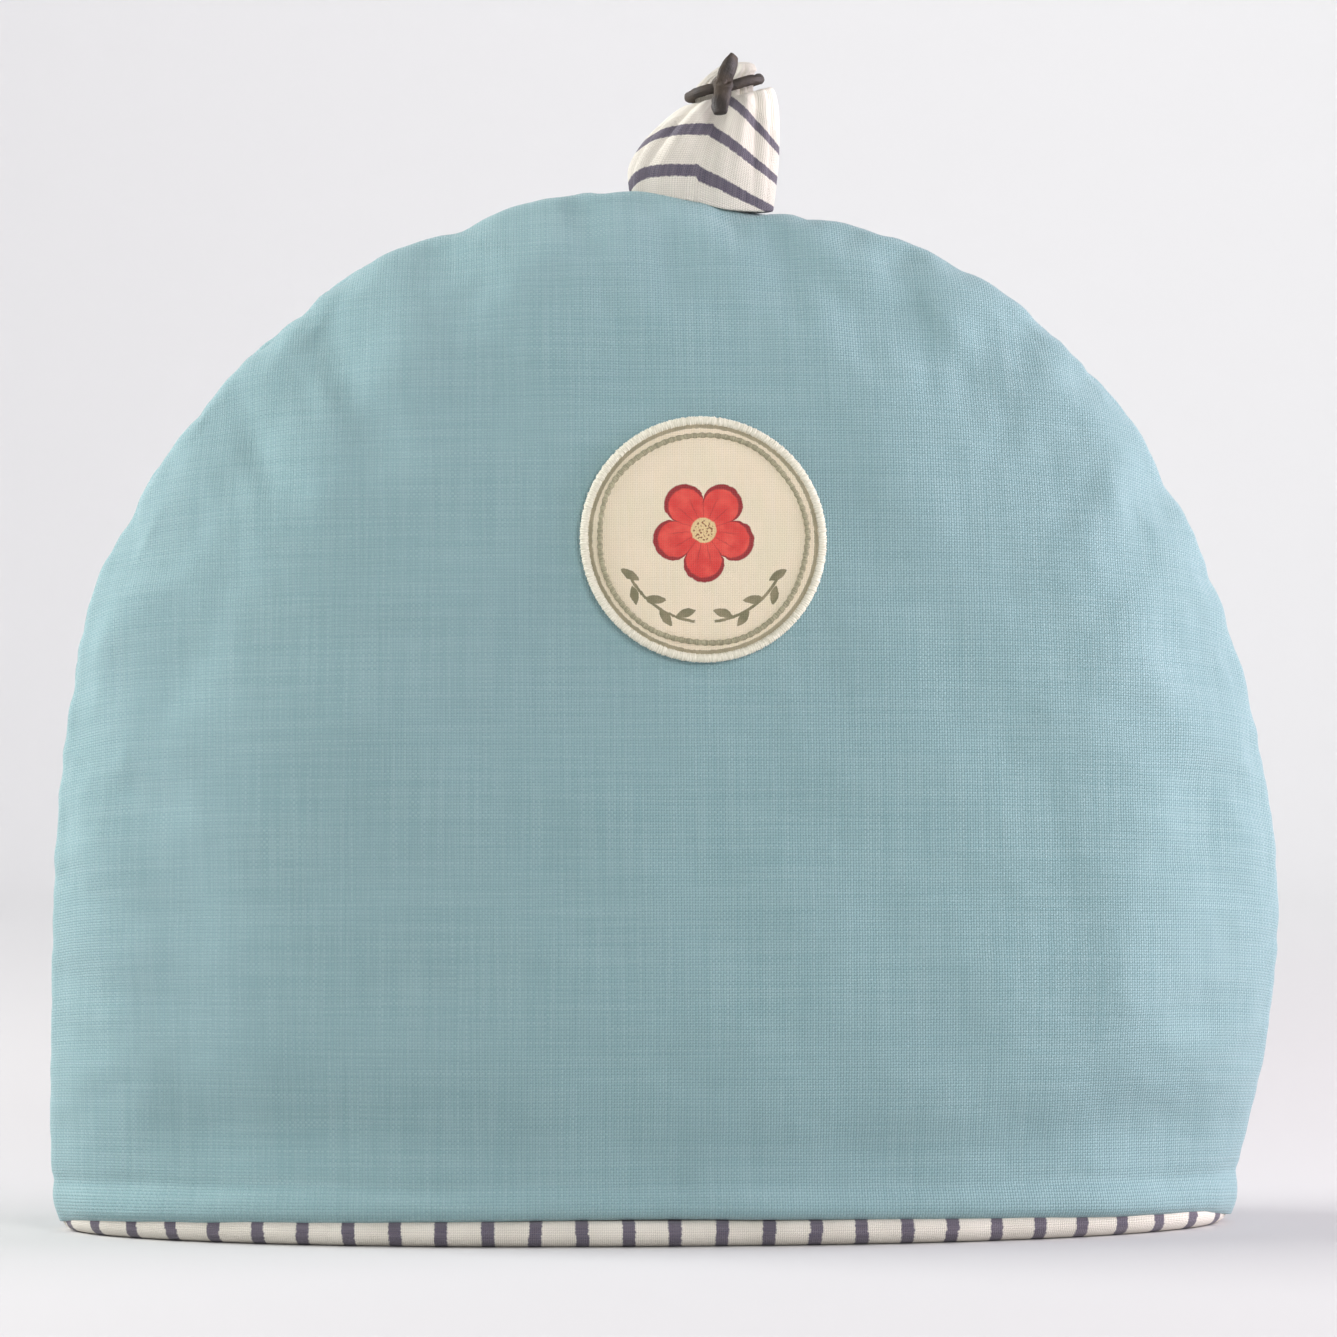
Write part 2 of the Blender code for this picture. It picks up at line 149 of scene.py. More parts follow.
BACK_CREASES = (
    (-80, 226, -70, 198, 1, 3.0, -1.3), (70, 228, 60, 194, -1, 3.2, -1.3),
    (104, 198, 92, 170, 1, 3.0, -1.1), (-104, 204, -94, 186, 1, 3.0, -0.9),
    (-118, 180, -106, 170, 1, 3.2, -0.7), (88, 216, 80, 200, -1, 3.2, 0.6),
    (118, 170, 106, 160, 1, 3.4, -0.7), (40, 236, 36, 216, 1, 3.6, -0.7),
    (-46, 236, -40, 216, 1, 3.6, -0.8), (8, 243, 6, 224, 1, 4.0, -0.5),
    (-134, 104, -120, 98, 1, 3.8, -0.7), (134, 86, 120, 82, -1, 3.8, -0.7),
    (-136, 48, -122, 46, 1, 4.0, -0.5), (128, 40, 114, 40, 1, 4.0, -0.5),
    (-112, 130, -96, 160, 2, 5.0, -0.8), (-30, 200, 24, 204, 3, 6.0, -0.6),
)
FOLD_FADE = 12  # power that takes the folds away at the seam
FOLD_TAPER = 1.5  # length of a fold's ends, in widths
GRID_CLOSING = 0.17  # the lattice's rows and columns close up towards the seam
GRID_POWER = 5
GRID_MIDDLE = 170.0
GRID_SETTLING = 3


def seam_reach(angle):
    """Distance of the seam from the middle of the hem, at an angle."""
    place = np.clip(angle, 0.0, 180.0) / OUTLINE_STEP
    last = len(OUTLINE) - 1
    row = np.minimum(place.astype(int), last - 1)
    reach = curve_between(
        OUTLINE[np.maximum(row - 1, 0)], OUTLINE[row],
        OUTLINE[row + 1], OUTLINE[np.minimum(row + 2, last)], place - row)
    for middle, depth, spread in PINCHES:
        reach = reach - depth * bell(angle, middle, spread)
    return reach


def fold_heights(folds, x, z):
    total = np.zeros_like(x)
    for x_start, z_start, x_end, z_end, bow, width, rise in folds:
        length = math.hypot(x_end - x_start, z_end - z_start)
        along = ((x_end - x_start) / length, (z_end - z_start) / length)
        travelled = (x - x_start) * along[0] + (z - z_start) * along[1]
        share = np.clip(travelled / length, 0, 1)
        aside = (z - z_start) * along[0] - (x - x_start) * along[1]
        across = (aside - 4 * share * (1 - share) * bow) / width
        beyond = (travelled - share * length) / (FOLD_TAPER * width)
        total += rise * np.exp(-(across ** 2) - beyond ** 2)
    return total


def crown(share):
    """Depth of a wall as a share of its middle's, at a share of the way to the seam."""
    return np.maximum(1 - share ** CROWN_FLATNESS, 0) ** CROWN_EDGE


def outer_depth(x, z, folds):
    """Depth of a wall's outer face with its folds, without its finer creases."""
    height = np.maximum(z - WALL_BASE, 0)
    angle = np.degrees(np.arctan2(height, x))
    rho = np.minimum(np.hypot(x, height) / seam_reach(angle), 1.0)
    return WALL_DEPTH * crown(rho) + fold_heights(folds, x, z) * (1 - rho ** FOLD_FADE)


# ---- mesh collecting


def corners_of(lattice):
    """The four corners of each cell of a lattice, in turn."""
    return np.stack(
        (lattice[:-1, :-1], lattice[:-1, 1:], lattice[1:, 1:], lattice[1:, :-1]), 2)


def new_object(name, data):
    made = bpy.data.objects.new(name, data)
    bpy.context.scene.collection.objects.link(made)
    return made


def new_mesh(name, points, faces):
    """An object with a mesh of points in metres."""
    mesh = bpy.data.meshes.new(name)
    mesh.from_pydata(points.reshape(-1, 3).tolist(), [], faces)
    return new_object(name, mesh)


class Shell:
    """Collects lattices of points, in millimetres, into one mesh with a cloth UV map."""

    def __init__(self):
        self.points, self.faces, self.uvs, self.slots = [], [], [], []

    def add(self, points, uv, wrap=False, slot=0):
        """points is (rows, columns, 3). With wrap, the columns close and uv has one more."""
        rows, columns = points.shape[:2]
        first = sum(len(block) for block in self.points)
        ids = first + np.arange(rows * columns).reshape(rows, columns)
        if wrap:
            ids = np.concatenate((ids, ids[:, :1]), 1)
        self.points.append(points.reshape(-1, 3))
        self.quads(ids, uv, slot)
        return ids

    def quads(self, ids, uv, slot=0):
        """Faces between points that the shell has already."""
        faces = corners_of(ids).reshape(-1, 4).tolist()
        self.faces += faces
        self.uvs.append(corners_of(uv).reshape(-1, 2))
        self.slots += [slot] * len(faces)

    def loop(self, points, uv):
        """A lattice that closes both ways, with one more row and column in its uv."""
        ids = self.add(points, uv[:-1], wrap=True)
        self.quads(np.stack((ids[-1], ids[0])), uv[-2:])

    def cap(self, ids, uv):
        """A face over each end of a lattice with closed columns."""
        for row, order in ((0, slice(None, -1)), (-1, slice(-2, None, -1))):
            self.faces.append(ids[row, order].tolist())
            self.uvs.append(uv[row, order])
            self.slots.append(0)

    def build(self, name, node, slot, *materials):
        """The finished piece, in place of a CAD node where one is named."""
        piece = new_mesh(name, np.concatenate(self.points) * MM, self.faces)
        mesh = piece.data
        layer = mesh.uv_layers.new(name="cloth")
        flat = np.concatenate(self.uvs) * MM
        layer.uv.foreach_set("vector", flat.astype(np.float32).ravel())
        mesh.polygons.foreach_set("material_index", self.slots)
        bm = bmesh.new()
        bm.from_mesh(mesh)
        bmesh.ops.recalc_face_normals(bm, faces=bm.faces)
        bm.to_mesh(mesh)
        bm.free()
        mesh.shade_smooth()
        for material in materials:
            mesh.materials.append(material)
        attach(piece, "root")
        if node:
            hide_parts(node)
        return piece


# ---- walls

PATCH_X, PATCH_Z = 6.5, 167.0
PATCH_RADIUS = 29.5
WALL_COLUMNS = 230
WALL_ROWS = 132
HEM_ROWS = (0.0, 0.0012, 0.003, 0.0055, 0.0085, 0.012, 0.016)
SEAM_GAP = 0.04  # from the seam's plane to each wall's edge
UV_STEPS = 61  # steps that measure the cloth's length to one point
SEAM_STEPS = 241  # and to the seam
LINING_UNEVEN = 0.3
RIM_STEP = 1.5  # UV length of one cell of the turned edge

# rise, way in from the seam, spread
SEAM_RIDGES = ((-1.2, 0.0, 1.4), (0.45, 4.5, 3.0))
# angle, spread, shift of the seam along y, swell of the cloth behind it
SEAM_ROLLS = (
    (56.0, 9.0, -2.6, 1.3), (17.0, 8.0, -2.2, 1.1),
    (35.0, 7.0, 1.0, 0.2), (92.0, 10.0, 0.9, 0.2),
    (118.0, 9.0, -1.2, 0.4), (146.0, 10.0, 1.4, 0.3),
    (170.0, 8.0, -0.8, 0.3),
)
SEAM_ROLL_FADE = 10
ROLL_SWELL = (4.0, 2.6)  # way in from the seam, spread
PUCKER_SEED = 41
PUCKER_SPAN = (6.0, 560.0)  # along the seam
# Ranges of depth, width and distance to the next, then of reach and lean.
PUCKER_PLACES = ((0.12, 0.45), (1.3, 2.6), (5.0, 12.0))
PUCKER_SHAPES = ((4.0, 15.0), (-0.35, 0.35))
PUCKER_WIDENING = 14.0  # way in over which its width doubles
SIDE_GATHERS = 0.3  # share of the gathers that the lower sides keep

# Unevenness: rise, count of waves, shortest and longest.
UNEVEN = ((0.42, 14, 24, 76), (0.06, 16, 7, 18))
SEAM_CALM = 8.0  # way in from the seam over which it sets in
BADGE_CALM = 35.0  # radius of the smooth cloth under and round the badge
BADGE_DENT = (0.3, 1.2, 2.4)  # depth, distance beyond the badge, spread

LIP_WANDER = 0.5  # of the turned edge over the hem, up and down
# Ridges of that edge: rise, height, share of the wander, spread.
LIP_RIDGES = ((0.8, 3.4, 0, 2.8), (-0.5, 8.2, 1, 1.4), (-0.4, 13.0, 2, 7.5))
LIP_STITCHES = (0.12, 8.2, 4.0, 3.1)  # depth, height, spread, pitch
LIP_ROUNDING = 2.2  # radius of the wall's lower edge
CORNER_DROP = 2.8  # how much lower that edge hangs at the two corners
CORNER_DROP_FADE = 9.0
CORNER_PROUD = 1.3  # how far it stands out near them, over the striped hem
CORNER_TAPER = (2.6, 0.4)  # how far the left and right corners themselves draw in

# Cloth simulation of the gathers: spare length sewn into the seam buckles over the wadding.
GATHER_STEP = 2  # the simulated lattice keeps every second point
GATHER_FRAMES = 20
GATHER_SPARE = 0.024  # spare length at the seam, as a share
GATHER_REACH = 26.0  # how far in from the seam the spare length goes
GATHER_HOLD = 0.2  # how firmly the wadding holds the cloth
GATHER_START = 0.12  # unevenness that the folds grow from
GATHER_CAP = 1.15  # most that a point may rise or sink
CLOTH_SETTINGS = dict(
    quality=6, mass=0.02, tension_stiffness=60, compression_stiffness=60, shear_stiffness=8,
    bending_stiffness=15, tension_damping=3, compression_damping=3, shear_damping=3,
    vertex_group_mass="held", vertex_group_shrink="firm", shrink_min=-GATHER_SPARE,
    shrink_max=0.0)


def simulated(points, held, firm):
    """Points after a cloth simulation. held pins them, firm leaves them no spare length."""
    rows, columns = points.shape[:2]
    ids = np.arange(rows * columns).reshape(rows, columns)
    piece = new_mesh("gathers", points * MM, corners_of(ids).reshape(-1, 4).tolist())
    mesh = piece.data
    for name, weights in (("held", held), ("firm", firm)):
        group = piece.vertex_groups.new(name=name)
        for index, weight in enumerate(weights.ravel().tolist()):
            group.add([index], weight, "REPLACE")
    modifier = piece.modifiers.new("cloth", "CLOTH")
    for key, value in CLOTH_SETTINGS.items():
        setattr(modifier.settings, key, value)
    modifier.settings.effector_weights.gravity = 0
    modifier.collision_settings.use_collision = False
    modifier.point_cache.frame_end = GATHER_FRAMES
    scene = bpy.context.scene
    for frame_number in range(1, GATHER_FRAMES + 1):
        scene.frame_set(frame_number)
    settled = piece.evaluated_get(bpy.context.evaluated_depsgraph_get()).data
    places = np.empty(rows * columns * 3, np.float32)
    settled.vertices.foreach_get("co", places)
    bpy.data.objects.remove(piece)
    bpy.data.meshes.remove(mesh)
    scene.frame_set(1)
    return places.reshape(rows, columns, 3) / MM


def normals_of(points, side):
    """Unit normals of a wall's lattice from its own neighbours, away from the inside."""
    normal = np.cross(np.gradient(points, axis=1), np.gradient(points, axis=0))
    normal /= np.maximum(np.linalg.norm(normal, axis=2, keepdims=True), 1e-9)
    return normal * np.sign((normal[:, :, 1] * side).mean())


def seam_gathers(points, inward, rho, side, seed):
    """Each point's rise along its normal from the simulated gathers, in millimetres."""
    rows, columns = (
        np.unique(np.append(np.arange(0, count, GATHER_STEP), count - 1)) for count in rho.shape)
    some = np.ix_(rows, columns)
    start, inside = points[some], inward[some]
    normal = normals_of(start, side)
    free = (inside > 0.6) & (rho[some] < 0.9995)
    free[0] = False
    uneven = waves(GATHER_START, seed, 16, 6, 22, start[:, :, 0], start[:, :, 2]) * free
    held = np.where(free, GATHER_HOLD, 1.0)
    firm = 1 - np.exp(-(inside / GATHER_REACH) ** 2)
    settled = simulated(start + normal * uneven[:, :, None], held, firm)
    rise = ((settled - start) * normal).sum(2)
    rise = GATHER_CAP * np.tanh(rise / GATHER_CAP)

    # back to the full lattice, smoothed once each way
    for kept, count in ((columns, rho.shape[1]), (rows, rho.shape[0])):
        rise = np.stack([np.interp(np.arange(count), kept, line) for line in rise], 1)
    for _ in range(2):
        padded = np.pad(rise, 1, mode="edge")
        rise = ((padded[:-2] + 2 * padded[1:-1] + padded[2:])[:, 1:-1] / 4).T
    return rise


def seam_places(angle):
    """Distance along the seam from its right end, for an angle."""
    fine = np.linspace(0, 180, 1801)
    turn = np.radians(fine)
    seam = seam_reach(fine)[:, None] * np.stack((np.cos(turn), np.sin(turn)), 1)
    return np.interp(angle, fine, lengths_along(seam))


def seam_puckers(angle, inward, seed):
    """Depth of the small gathers that run in from the seam."""
    along_seam = seam_places(angle)
    placing, shaping = np.random.default_rng(PUCKER_SEED), np.random.default_rng(seed)
    place, total = PUCKER_SPAN[0], 0
    while place < PUCKER_SPAN[1]:
        depth, width, step = (placing.uniform(*limits) for limits in PUCKER_PLACES)
        reach, lean = (shaping.uniform(*limits) for limits in PUCKER_SHAPES)
        wider = width * (1 + inward / PUCKER_WIDENING)
        shape = bell(along_seam, place + lean * inward, wider)
        total = total + depth * shape * np.exp(-inward / reach)
        place += step
    return total


def seam_roll(angle, rho):
    """How far the seam leans along y near it, and the swell of the cloth on its far side."""
    near = rho ** SEAM_ROLL_FADE
    shift = sum(y * bell(angle, middle, spread) for middle, spread, y, _ in SEAM_ROLLS)
    swell = sum(rise * bell(angle, middle, spread) for middle, spread, _, rise in SEAM_ROLLS)
    return shift * near, swell


def closing(share):
    return share * (1 + GRID_CLOSING - GRID_CLOSING * abs(share) ** GRID_POWER)


def cloth_lengths(shares, edge, depth):
    """Length over the crown to the last of some shares of the way to the seam."""
    steps = np.diff(shares * edge, axis=0), np.diff(depth * crown(shares), axis=0)
    return np.hypot(*steps).sum(0)


def wall_lattice(side, folds, inner):
    """Points of one face of a wall, its cloth UV, the way in from the seam, angle and rho."""
    across = closing(np.linspace(-1, 1, WALL_COLUMNS))[None, :]
    up = closing(np.linspace(0, 1, WALL_ROWS))
    up = np.unique(np.concatenate((HEM_ROWS, up[up > HEM_ROWS[-1]])))[:, None]
    level = across * np.sqrt(1 - up * up / 2)
    rise = up * np.sqrt(1 - across * across / 2)
    share = np.minimum(np.hypot(level, rise), 1.0)
    angle = np.degrees(np.arctan2(rise, level))
    inset = inner * WALL_THICKNESS
    edge = seam_reach(angle) - inset
    settled = 1 - (1 - share * share) ** GRID_SETTLING
    distance = share * (GRID_MIDDLE + (edge - GRID_MIDDLE) * settled)
    rho = np.minimum(distance / edge, 1.0)
    turn = np.radians(angle)
    x = distance * np.cos(turn)
    z = WALL_BASE + distance * np.sin(turn)
    full_depth = WALL_DEPTH - inset
    depth = full_depth * crown(rho) + fold_heights(folds, x, z) * (1 - rho ** FOLD_FADE)
    y = side * (depth + SEAM_GAP) + seam_roll(angle, rho)[0]

    # length along the cloth from the middle of the hem, out along each point's own radius
    shares = rho * (1 - (1 - np.linspace(0, 1, UV_STEPS)[:, None, None]) ** 2)
    lengths = cloth_lengths(shares, edge, full_depth)
    uv = np.stack((lengths * np.cos(turn), lengths * np.sin(turn)), 2)
    whole_degrees = np.linspace(0, 180, 181)
    shares = 1 - (1 - np.linspace(0, 1, SEAM_STEPS)) ** 2
    reaches = seam_reach(whole_degrees) - inset
    totals = [cloth_lengths(shares, reach, full_depth) for reach in reaches]
    inward = np.maximum(np.interp(angle, whole_degrees, totals) - lengths, 0)
    return np.stack((x, y, z), 2), uv, inward, angle, rho


def lip_shape(x, z, rho, seed):
    """Rise of the turned edge over the hem, and how far it hangs lower at the corners."""
    above = z - WALL_BASE
    wander = waves(LIP_WANDER, seed, 6, 30, 90, x)
    lift = sum(rise * bell(above, height + follows * wander, spread)
               for rise, height, follows, spread in LIP_RIDGES)
    depth, height, spread, pitch = LIP_STITCHES
    stitches = np.sin(TAU * x / pitch + 2 * wander) ** 2
    lift -= depth * bell(above, height + wander, spread) * stitches
    across = np.minimum(abs(x) / seam_reach(np.where(x > 0, 0.0, 180.0)), 1.0)
    lift += CORNER_PROUD * across ** 1.4 * (1 - across ** 12) * bell(above, 1.0, 4.0)
    lift -= np.where(x < 0, *CORNER_TAPER) * across ** 14 * bell(above, -1.0, 7.0)
    under = np.clip(1 - above / LIP_ROUNDING, 0, 1)
    lift -= LIP_ROUNDING * (1 - np.sqrt(1 - under ** 2)) * (1 - rho ** 30)
    corner = across ** 1.4 + 0.6 * across ** 16
    return lift, CORNER_DROP * corner * np.exp(-above / CORNER_DROP_FADE)


def dressed_wall(side, folds, creases, seed):
    """The outer face with its seam groove, gathers, hem lip and soft unevenness."""
    points, uv, inward, angle, rho = wall_lattice(side, folds, 0)
    x, z = points[:, :, 0], points[:, :, 2]
    turn = np.radians(angle)
    radial = np.stack((np.cos(turn), np.zeros_like(turn), np.sin(turn)), 2)
    normal = np.where((rho > 0.9999)[:, :, None], radial, normals_of(points, side))

    lift = sum(rise * bell(inward, *place) for rise, *place in SEAM_RIDGES)
    shift, swell = seam_roll(angle, rho)
    lift += np.where(side * shift < 0, swell, 0) * bell(inward, *ROLL_SWELL)
    gathered = SIDE_GATHERS + (1 - SIDE_GATHERS) * np.maximum(np.sin(turn), 0) ** 1.5
    lift -= gathered * seam_puckers(angle, inward, seed)
    calm = 1 - np.exp(-inward / SEAM_CALM)
    if side < 0:
        from_badge = np.hypot(x - PATCH_X, z - PATCH_Z)
        calm = calm * (1 - np.exp(-((from_badge / BADGE_CALM) ** 8)))
        depth, beyond, spread = BADGE_DENT
        lift -= depth * bell(from_badge, PATCH_RADIUS + beyond, spread)
    for number, (rise, *shape) in enumerate(UNEVEN, 1):
        lift += calm * waves(rise, seed + number, *shape, x, z)
    lift += fold_heights(creases, x, z) * (1 - rho ** FOLD_FADE)
    lift += gathered * seam_gathers(points, inward, rho, side, seed + 7)
    lip_lift, drop = lip_shape(x, z, rho, seed + 3)
    dressed = points + normal * (lift + lip_lift)[:, :, None]
    dressed[:, :, 2] -= drop
    return dressed, uv


def rim_of(ids):
    """The edge of a lattice, once round and back to its start."""
    return np.concatenate((ids[0, :], ids[1:, -1], ids[-1, -2::-1], ids[-2:0:-1, 0], ids[0, :1]))


def uv_lattice(u, v):
    return np.stack(np.broadcast_arrays(u, v), 2).astype(float)


def make_wall(name, node, side, folds, creases, seed, cloth, lining):
    outer, uv = dressed_wall(side, folds, creases, seed)
    inner, inner_uv, _, _, rho = wall_lattice(side, folds, 1)
    soft = waves(LINING_UNEVEN, seed + 5, 10, 18, 60, inner[:, :, 0], inner[:, :, 2])
    inner = inner + normals_of(inner, side) * (soft * (1 - rho ** 8))[:, :, None]
    shell = Shell()
    a = shell.add(outer[:, ::-side], uv[:, ::-side])[:, ::-side]
    b = shell.add(inner[:, ::side], inner_uv[:, ::side], slot=1)[:, ::side]
    rims = np.stack((rim_of(b), rim_of(a))[::-side])
    step = np.arange(rims.shape[1]) * RIM_STEP
    shell.quads(rims, uv_lattice(step[None, :], np.array(((0.0,), (WALL_THICKNESS,)))))
    return shell.build(name, node, "outer_cloth", cloth, lining)


# ---- striped hem

STRIPE_PITCH = 11.06
STRIPE_START = 17.96  # from the left end of the hem, along its front
STATION = 1.3  # spacing of the rings of points along the hem
SECTION = 28  # points round the folded edge
SECTION_LENGTH = 24.0  # of cloth round it
ROUND_ACROSS = (0.55, 0.95)  # powers that shape the section above and below
ROUND_UP = (0.7, 0.95)
HEM_SWELL = (0.22, 61, 9, 14, 60)  # rise, seed, waves, shortest and longest wave
HEM_CREST = (0.1, 62, 8, 9, 40)
HEM_TUCK = (3.2, 1.6)  # how far its left and right ends lie in from the wall's corners


def hem_path(offset):
    """Closed line round the hem, front first from its left end, offset outward."""
    line = []
    for side, folds in ((-1, FRONT_FOLDS), (1, BACK_FOLDS)):
        share = side * np.cos(math.pi * np.arange(600) / 600)
        reach = np.where(share > 0, OUTLINE[0], OUTLINE[-1])
        x = share * reach
        depth = outer_depth(x, np.full_like(x, WALL_BASE), folds)
        tuck = np.where(share < 0, *HEM_TUCK)
        line.append(np.stack(
            (share * (reach + offset - tuck), side * depth * (1 + offset / WALL_DEPTH)), 1))
    return np.concatenate(line)


def evenly(line, step):
    """Points of a closed line spaced evenly, and the length at each and at the end."""
    closed = np.concatenate((line, line[:1]))
    lengths = lengths_along(closed)
    places = np.linspace(0, lengths[-1], int(lengths[-1] / step) + 1)
    points = np.stack([np.interp(places[:-1], lengths, closed[:, i]) for i in range(2)], 1)
    return points, places


def ways_along(line, smoothing=0):
    """Unit directions of a closed line at its points."""
    ahead = np.roll(line, -1, 0) - np.roll(line, 1, 0)
    for _ in range(smoothing):
        ahead = (np.roll(ahead, 1, 0) + ahead + np.roll(ahead, -1, 0)) / 3
    return ahead / np.linalg.norm(ahead, axis=1, keepdims=True)


def make_hem(material):
    middle, places = evenly(hem_path(-WALL_THICKNESS / 2), STATION)
    ahead = ways_along(middle, smoothing=3)
    outward = np.stack((ahead[:, 1], -ahead[:, 0]), 1)

    # each station's length along the hem's outer line, which the stripes follow
    outer_line, outer_places = evenly(hem_path(HEM_PROUD), STATION)
    near = np.argmin(np.linalg.norm(middle[:, None] - outer_line[None, :], axis=2), axis=1)
    tangent = ways_along(outer_line)[near]
    along = outer_places[near] + ((middle - outer_line[near]) * tangent).sum(1)
    station = np.arange(len(near))
    along += np.where((near < 10) & (station > len(near) / 2), outer_places[-1], 0)
    along = np.append(np.maximum.accumulate(along), outer_places[-1])

    turn = turns(SECTION)
    across, up = np.cos(turn), np.sin(turn)
    round_x, round_z = (
        np.sign(part) * abs(part) ** np.where(up > 0, *powers)
        for part, powers in ((across, ROUND_ACROSS), (up, ROUND_UP)))
    swell, crest = (waves(*shape, places[:-1])[:, None] for shape in (HEM_SWELL, HEM_CREST))
    out = (WALL_THICKNESS / 2 + HEM_PROUD + swell * (across > 0)) * round_x
    height = HEM_HEIGHT / 2 + (HEM_HEIGHT / 2) * round_z + crest * (round_z > 0.5)
    level = middle[:, None] + outward[:, None] * out[:, :, None]
    shell = Shell()
    shell.loop(
        np.concatenate((level, height[:, :, None]), 2),
        uv_lattice(along[:, None] - STRIPE_START, np.linspace(0, SECTION_LENGTH, SECTION + 1)))
    return shell.build("hem_strip", "hem_edge", "striped_cloth", material)


# ---- round badge

PATCH_SEAT = 0.36
PATCH_CLOTH = 1.15  # thickness of the badge's cloth
BADGE_COLUMNS = 160
BADGE_RADII = np.array((0.4, 6, 12, 18, 23, 26.5, 28.6, 29.2))
BADGE_EDGE = (0.55, 0.95)  # lift of the top at the two outer radii
BADGE_SAG = (0.10, 81, 8, 9, 30)  # rise, seed, waves, shortest and longest wave
BORDER_MIDDLE = 28.35  # satin-stitched border
BORDER_HALF_WIDTH = 1.12
BORDER_HALF_HEIGHT = 0.97
BORDER_SINK = 0.5  # middle of the border below the badge's top
BORDER_THREADS = 300
BORDER_ROWS = 14
RING_RADIUS = 24.9  # olive line of stem stitch inside the border
RING_THREAD = (0.62, 0.42)
RING_LIFT = 0.05
RING_STITCHES = 84
RING_ROWS = 12


def on_badge(radius, turn, lift):
    """Points of the badge at a radius and turn about its middle, lifted off the wall."""
    x = PATCH_X + radius * np.cos(turn)
    z = PATCH_Z + radius * np.sin(turn)
    return np.stack((x, -(outer_depth(x, z, FRONT_FOLDS) + PATCH_SEAT + lift), z), -1)


def thread_ring(name, radius, lift, uv_radius, uv_step, thread):
    """A tube round the badge. radius and lift have a row for each point round it."""
    rows, columns = radius.shape
    turn = turns(columns, 1)
    shell = Shell()
    shell.loop(
        on_badge(radius, turn[None, :-1], lift),
        uv_lattice(turn[None, :] * uv_radius, np.arange(rows + 1)[:, None] * uv_step))
    return shell.build(name, None, "patch_cloth", thread)


def make_badge(cloth, border_thread, ring_thread):
    turn = turns(BADGE_COLUMNS, 1)
    radii = np.concatenate((BADGE_RADII, BADGE_RADII[::-1]))[:, None]
    flat = len(BADGE_RADII) - len(BADGE_EDGE)
    lifts = np.array((*[0.0] * len(BADGE_RADII), *BADGE_EDGE, *[PATCH_CLOTH] * flat))[:, None]
    uv = np.stack((radii * np.cos(turn), radii * np.sin(turn)), 2)
    sag = waves(*BADGE_SAG, uv[:, :-1, 0], uv[:, :-1, 1])
    sag[:len(BADGE_RADII)] = 0
    shell = Shell()
    shell.cap(shell.add(on_badge(radii, turn[None, :-1], lifts + sag), uv, wrap=True), uv)
    badge = shell.build("badge", "patch", "patch_cloth", cloth)

    # border: an oval tube whose surface rises over each thread
    turn, around = turns(BORDER_THREADS * 4), turns(BORDER_ROWS)[:, None]
    thread = 0.5 + 0.5 * np.cos(BORDER_THREADS * turn)
    uneven = 1 + waves(0.07, 82, 12, 0.4, 3.0, BORDER_MIDDLE * turn)
    swell = (0.86 + 0.14 * thread) * uneven
    border = thread_ring(
        "badge_border", BORDER_MIDDLE + BORDER_HALF_WIDTH * np.cos(around) * swell,
        PATCH_CLOTH - BORDER_SINK + BORDER_HALF_HEIGHT * np.sin(around) * swell,
        BORDER_MIDDLE, 0.4, border_thread)

    # ring: two twisted strands in one oval tube
    turn, around = turns(RING_STITCHES * 8), turns(RING_ROWS)[:, None]
    twist = 1 + 0.16 * np.cos(2 * around - RING_STITCHES * turn)
    wander = waves(0.22, 83, 6, 20, 70, BORDER_MIDDLE * turn)
    ring = thread_ring(
        "badge_ring", RING_RADIUS + wander + RING_THREAD[0] * twist * np.cos(around),
        PATCH_CLOTH + RING_LIFT + RING_THREAD[1] * twist * np.sin(around),
        RING_RADIUS, 0.3, ring_thread)
    return badge, border, ring


# ---- topknot

KNOB_SEAT = 0.36
# height, left, right, depth, left_up, right_up, gather
KNOB_FOOT = (0.0, -9.2, 26.0, 4.2, 0.0, 0.0, 0.4)
KNOB_RINGS = (
    (256.5, -9.4, 26.8, 7.0, 1.4, -2.2, 0.6),
    (262.0, -7.4, 27.4, 9.0, 0.4, -1.4, 0.8),
    (267.5, -4.2, 27.6, 9.8, -0.6, 0.2, 1.0),
    (271.8, 0.0, 27.4, 9.2, -0.8, 2.4, 1.0),
    (274.8, 3.8, 26.0, 7.6, -1.2, 3.6, 1.0),
    (275.6, 6.0, 22.8, 5.8, -1.8, 2.0, 0.8),
    (275.2, 7.0, 21.2, 4.7, -1.9, 1.9, 0.5),
    (279.8, 7.0, 21.4, 4.6, -1.9, 1.9, 0.5),
    (282.0, 9.8, 22.0, 4.2, -0.8, 0.8, 0.8),
    (283.8, 12.6, 21.4, 2.4, -0.4, 0.4, 0.8),
)
KNOB_END_CURVE = 1.5
# angle, depth, spread
KNOB_PLEATS = (
    (264, 0.34, 15), (306, 0.08, 12),
    (222, 0.10, 12), (92, 0.30, 16),
    (48, 0.08, 12), (140, 0.10, 13),
)
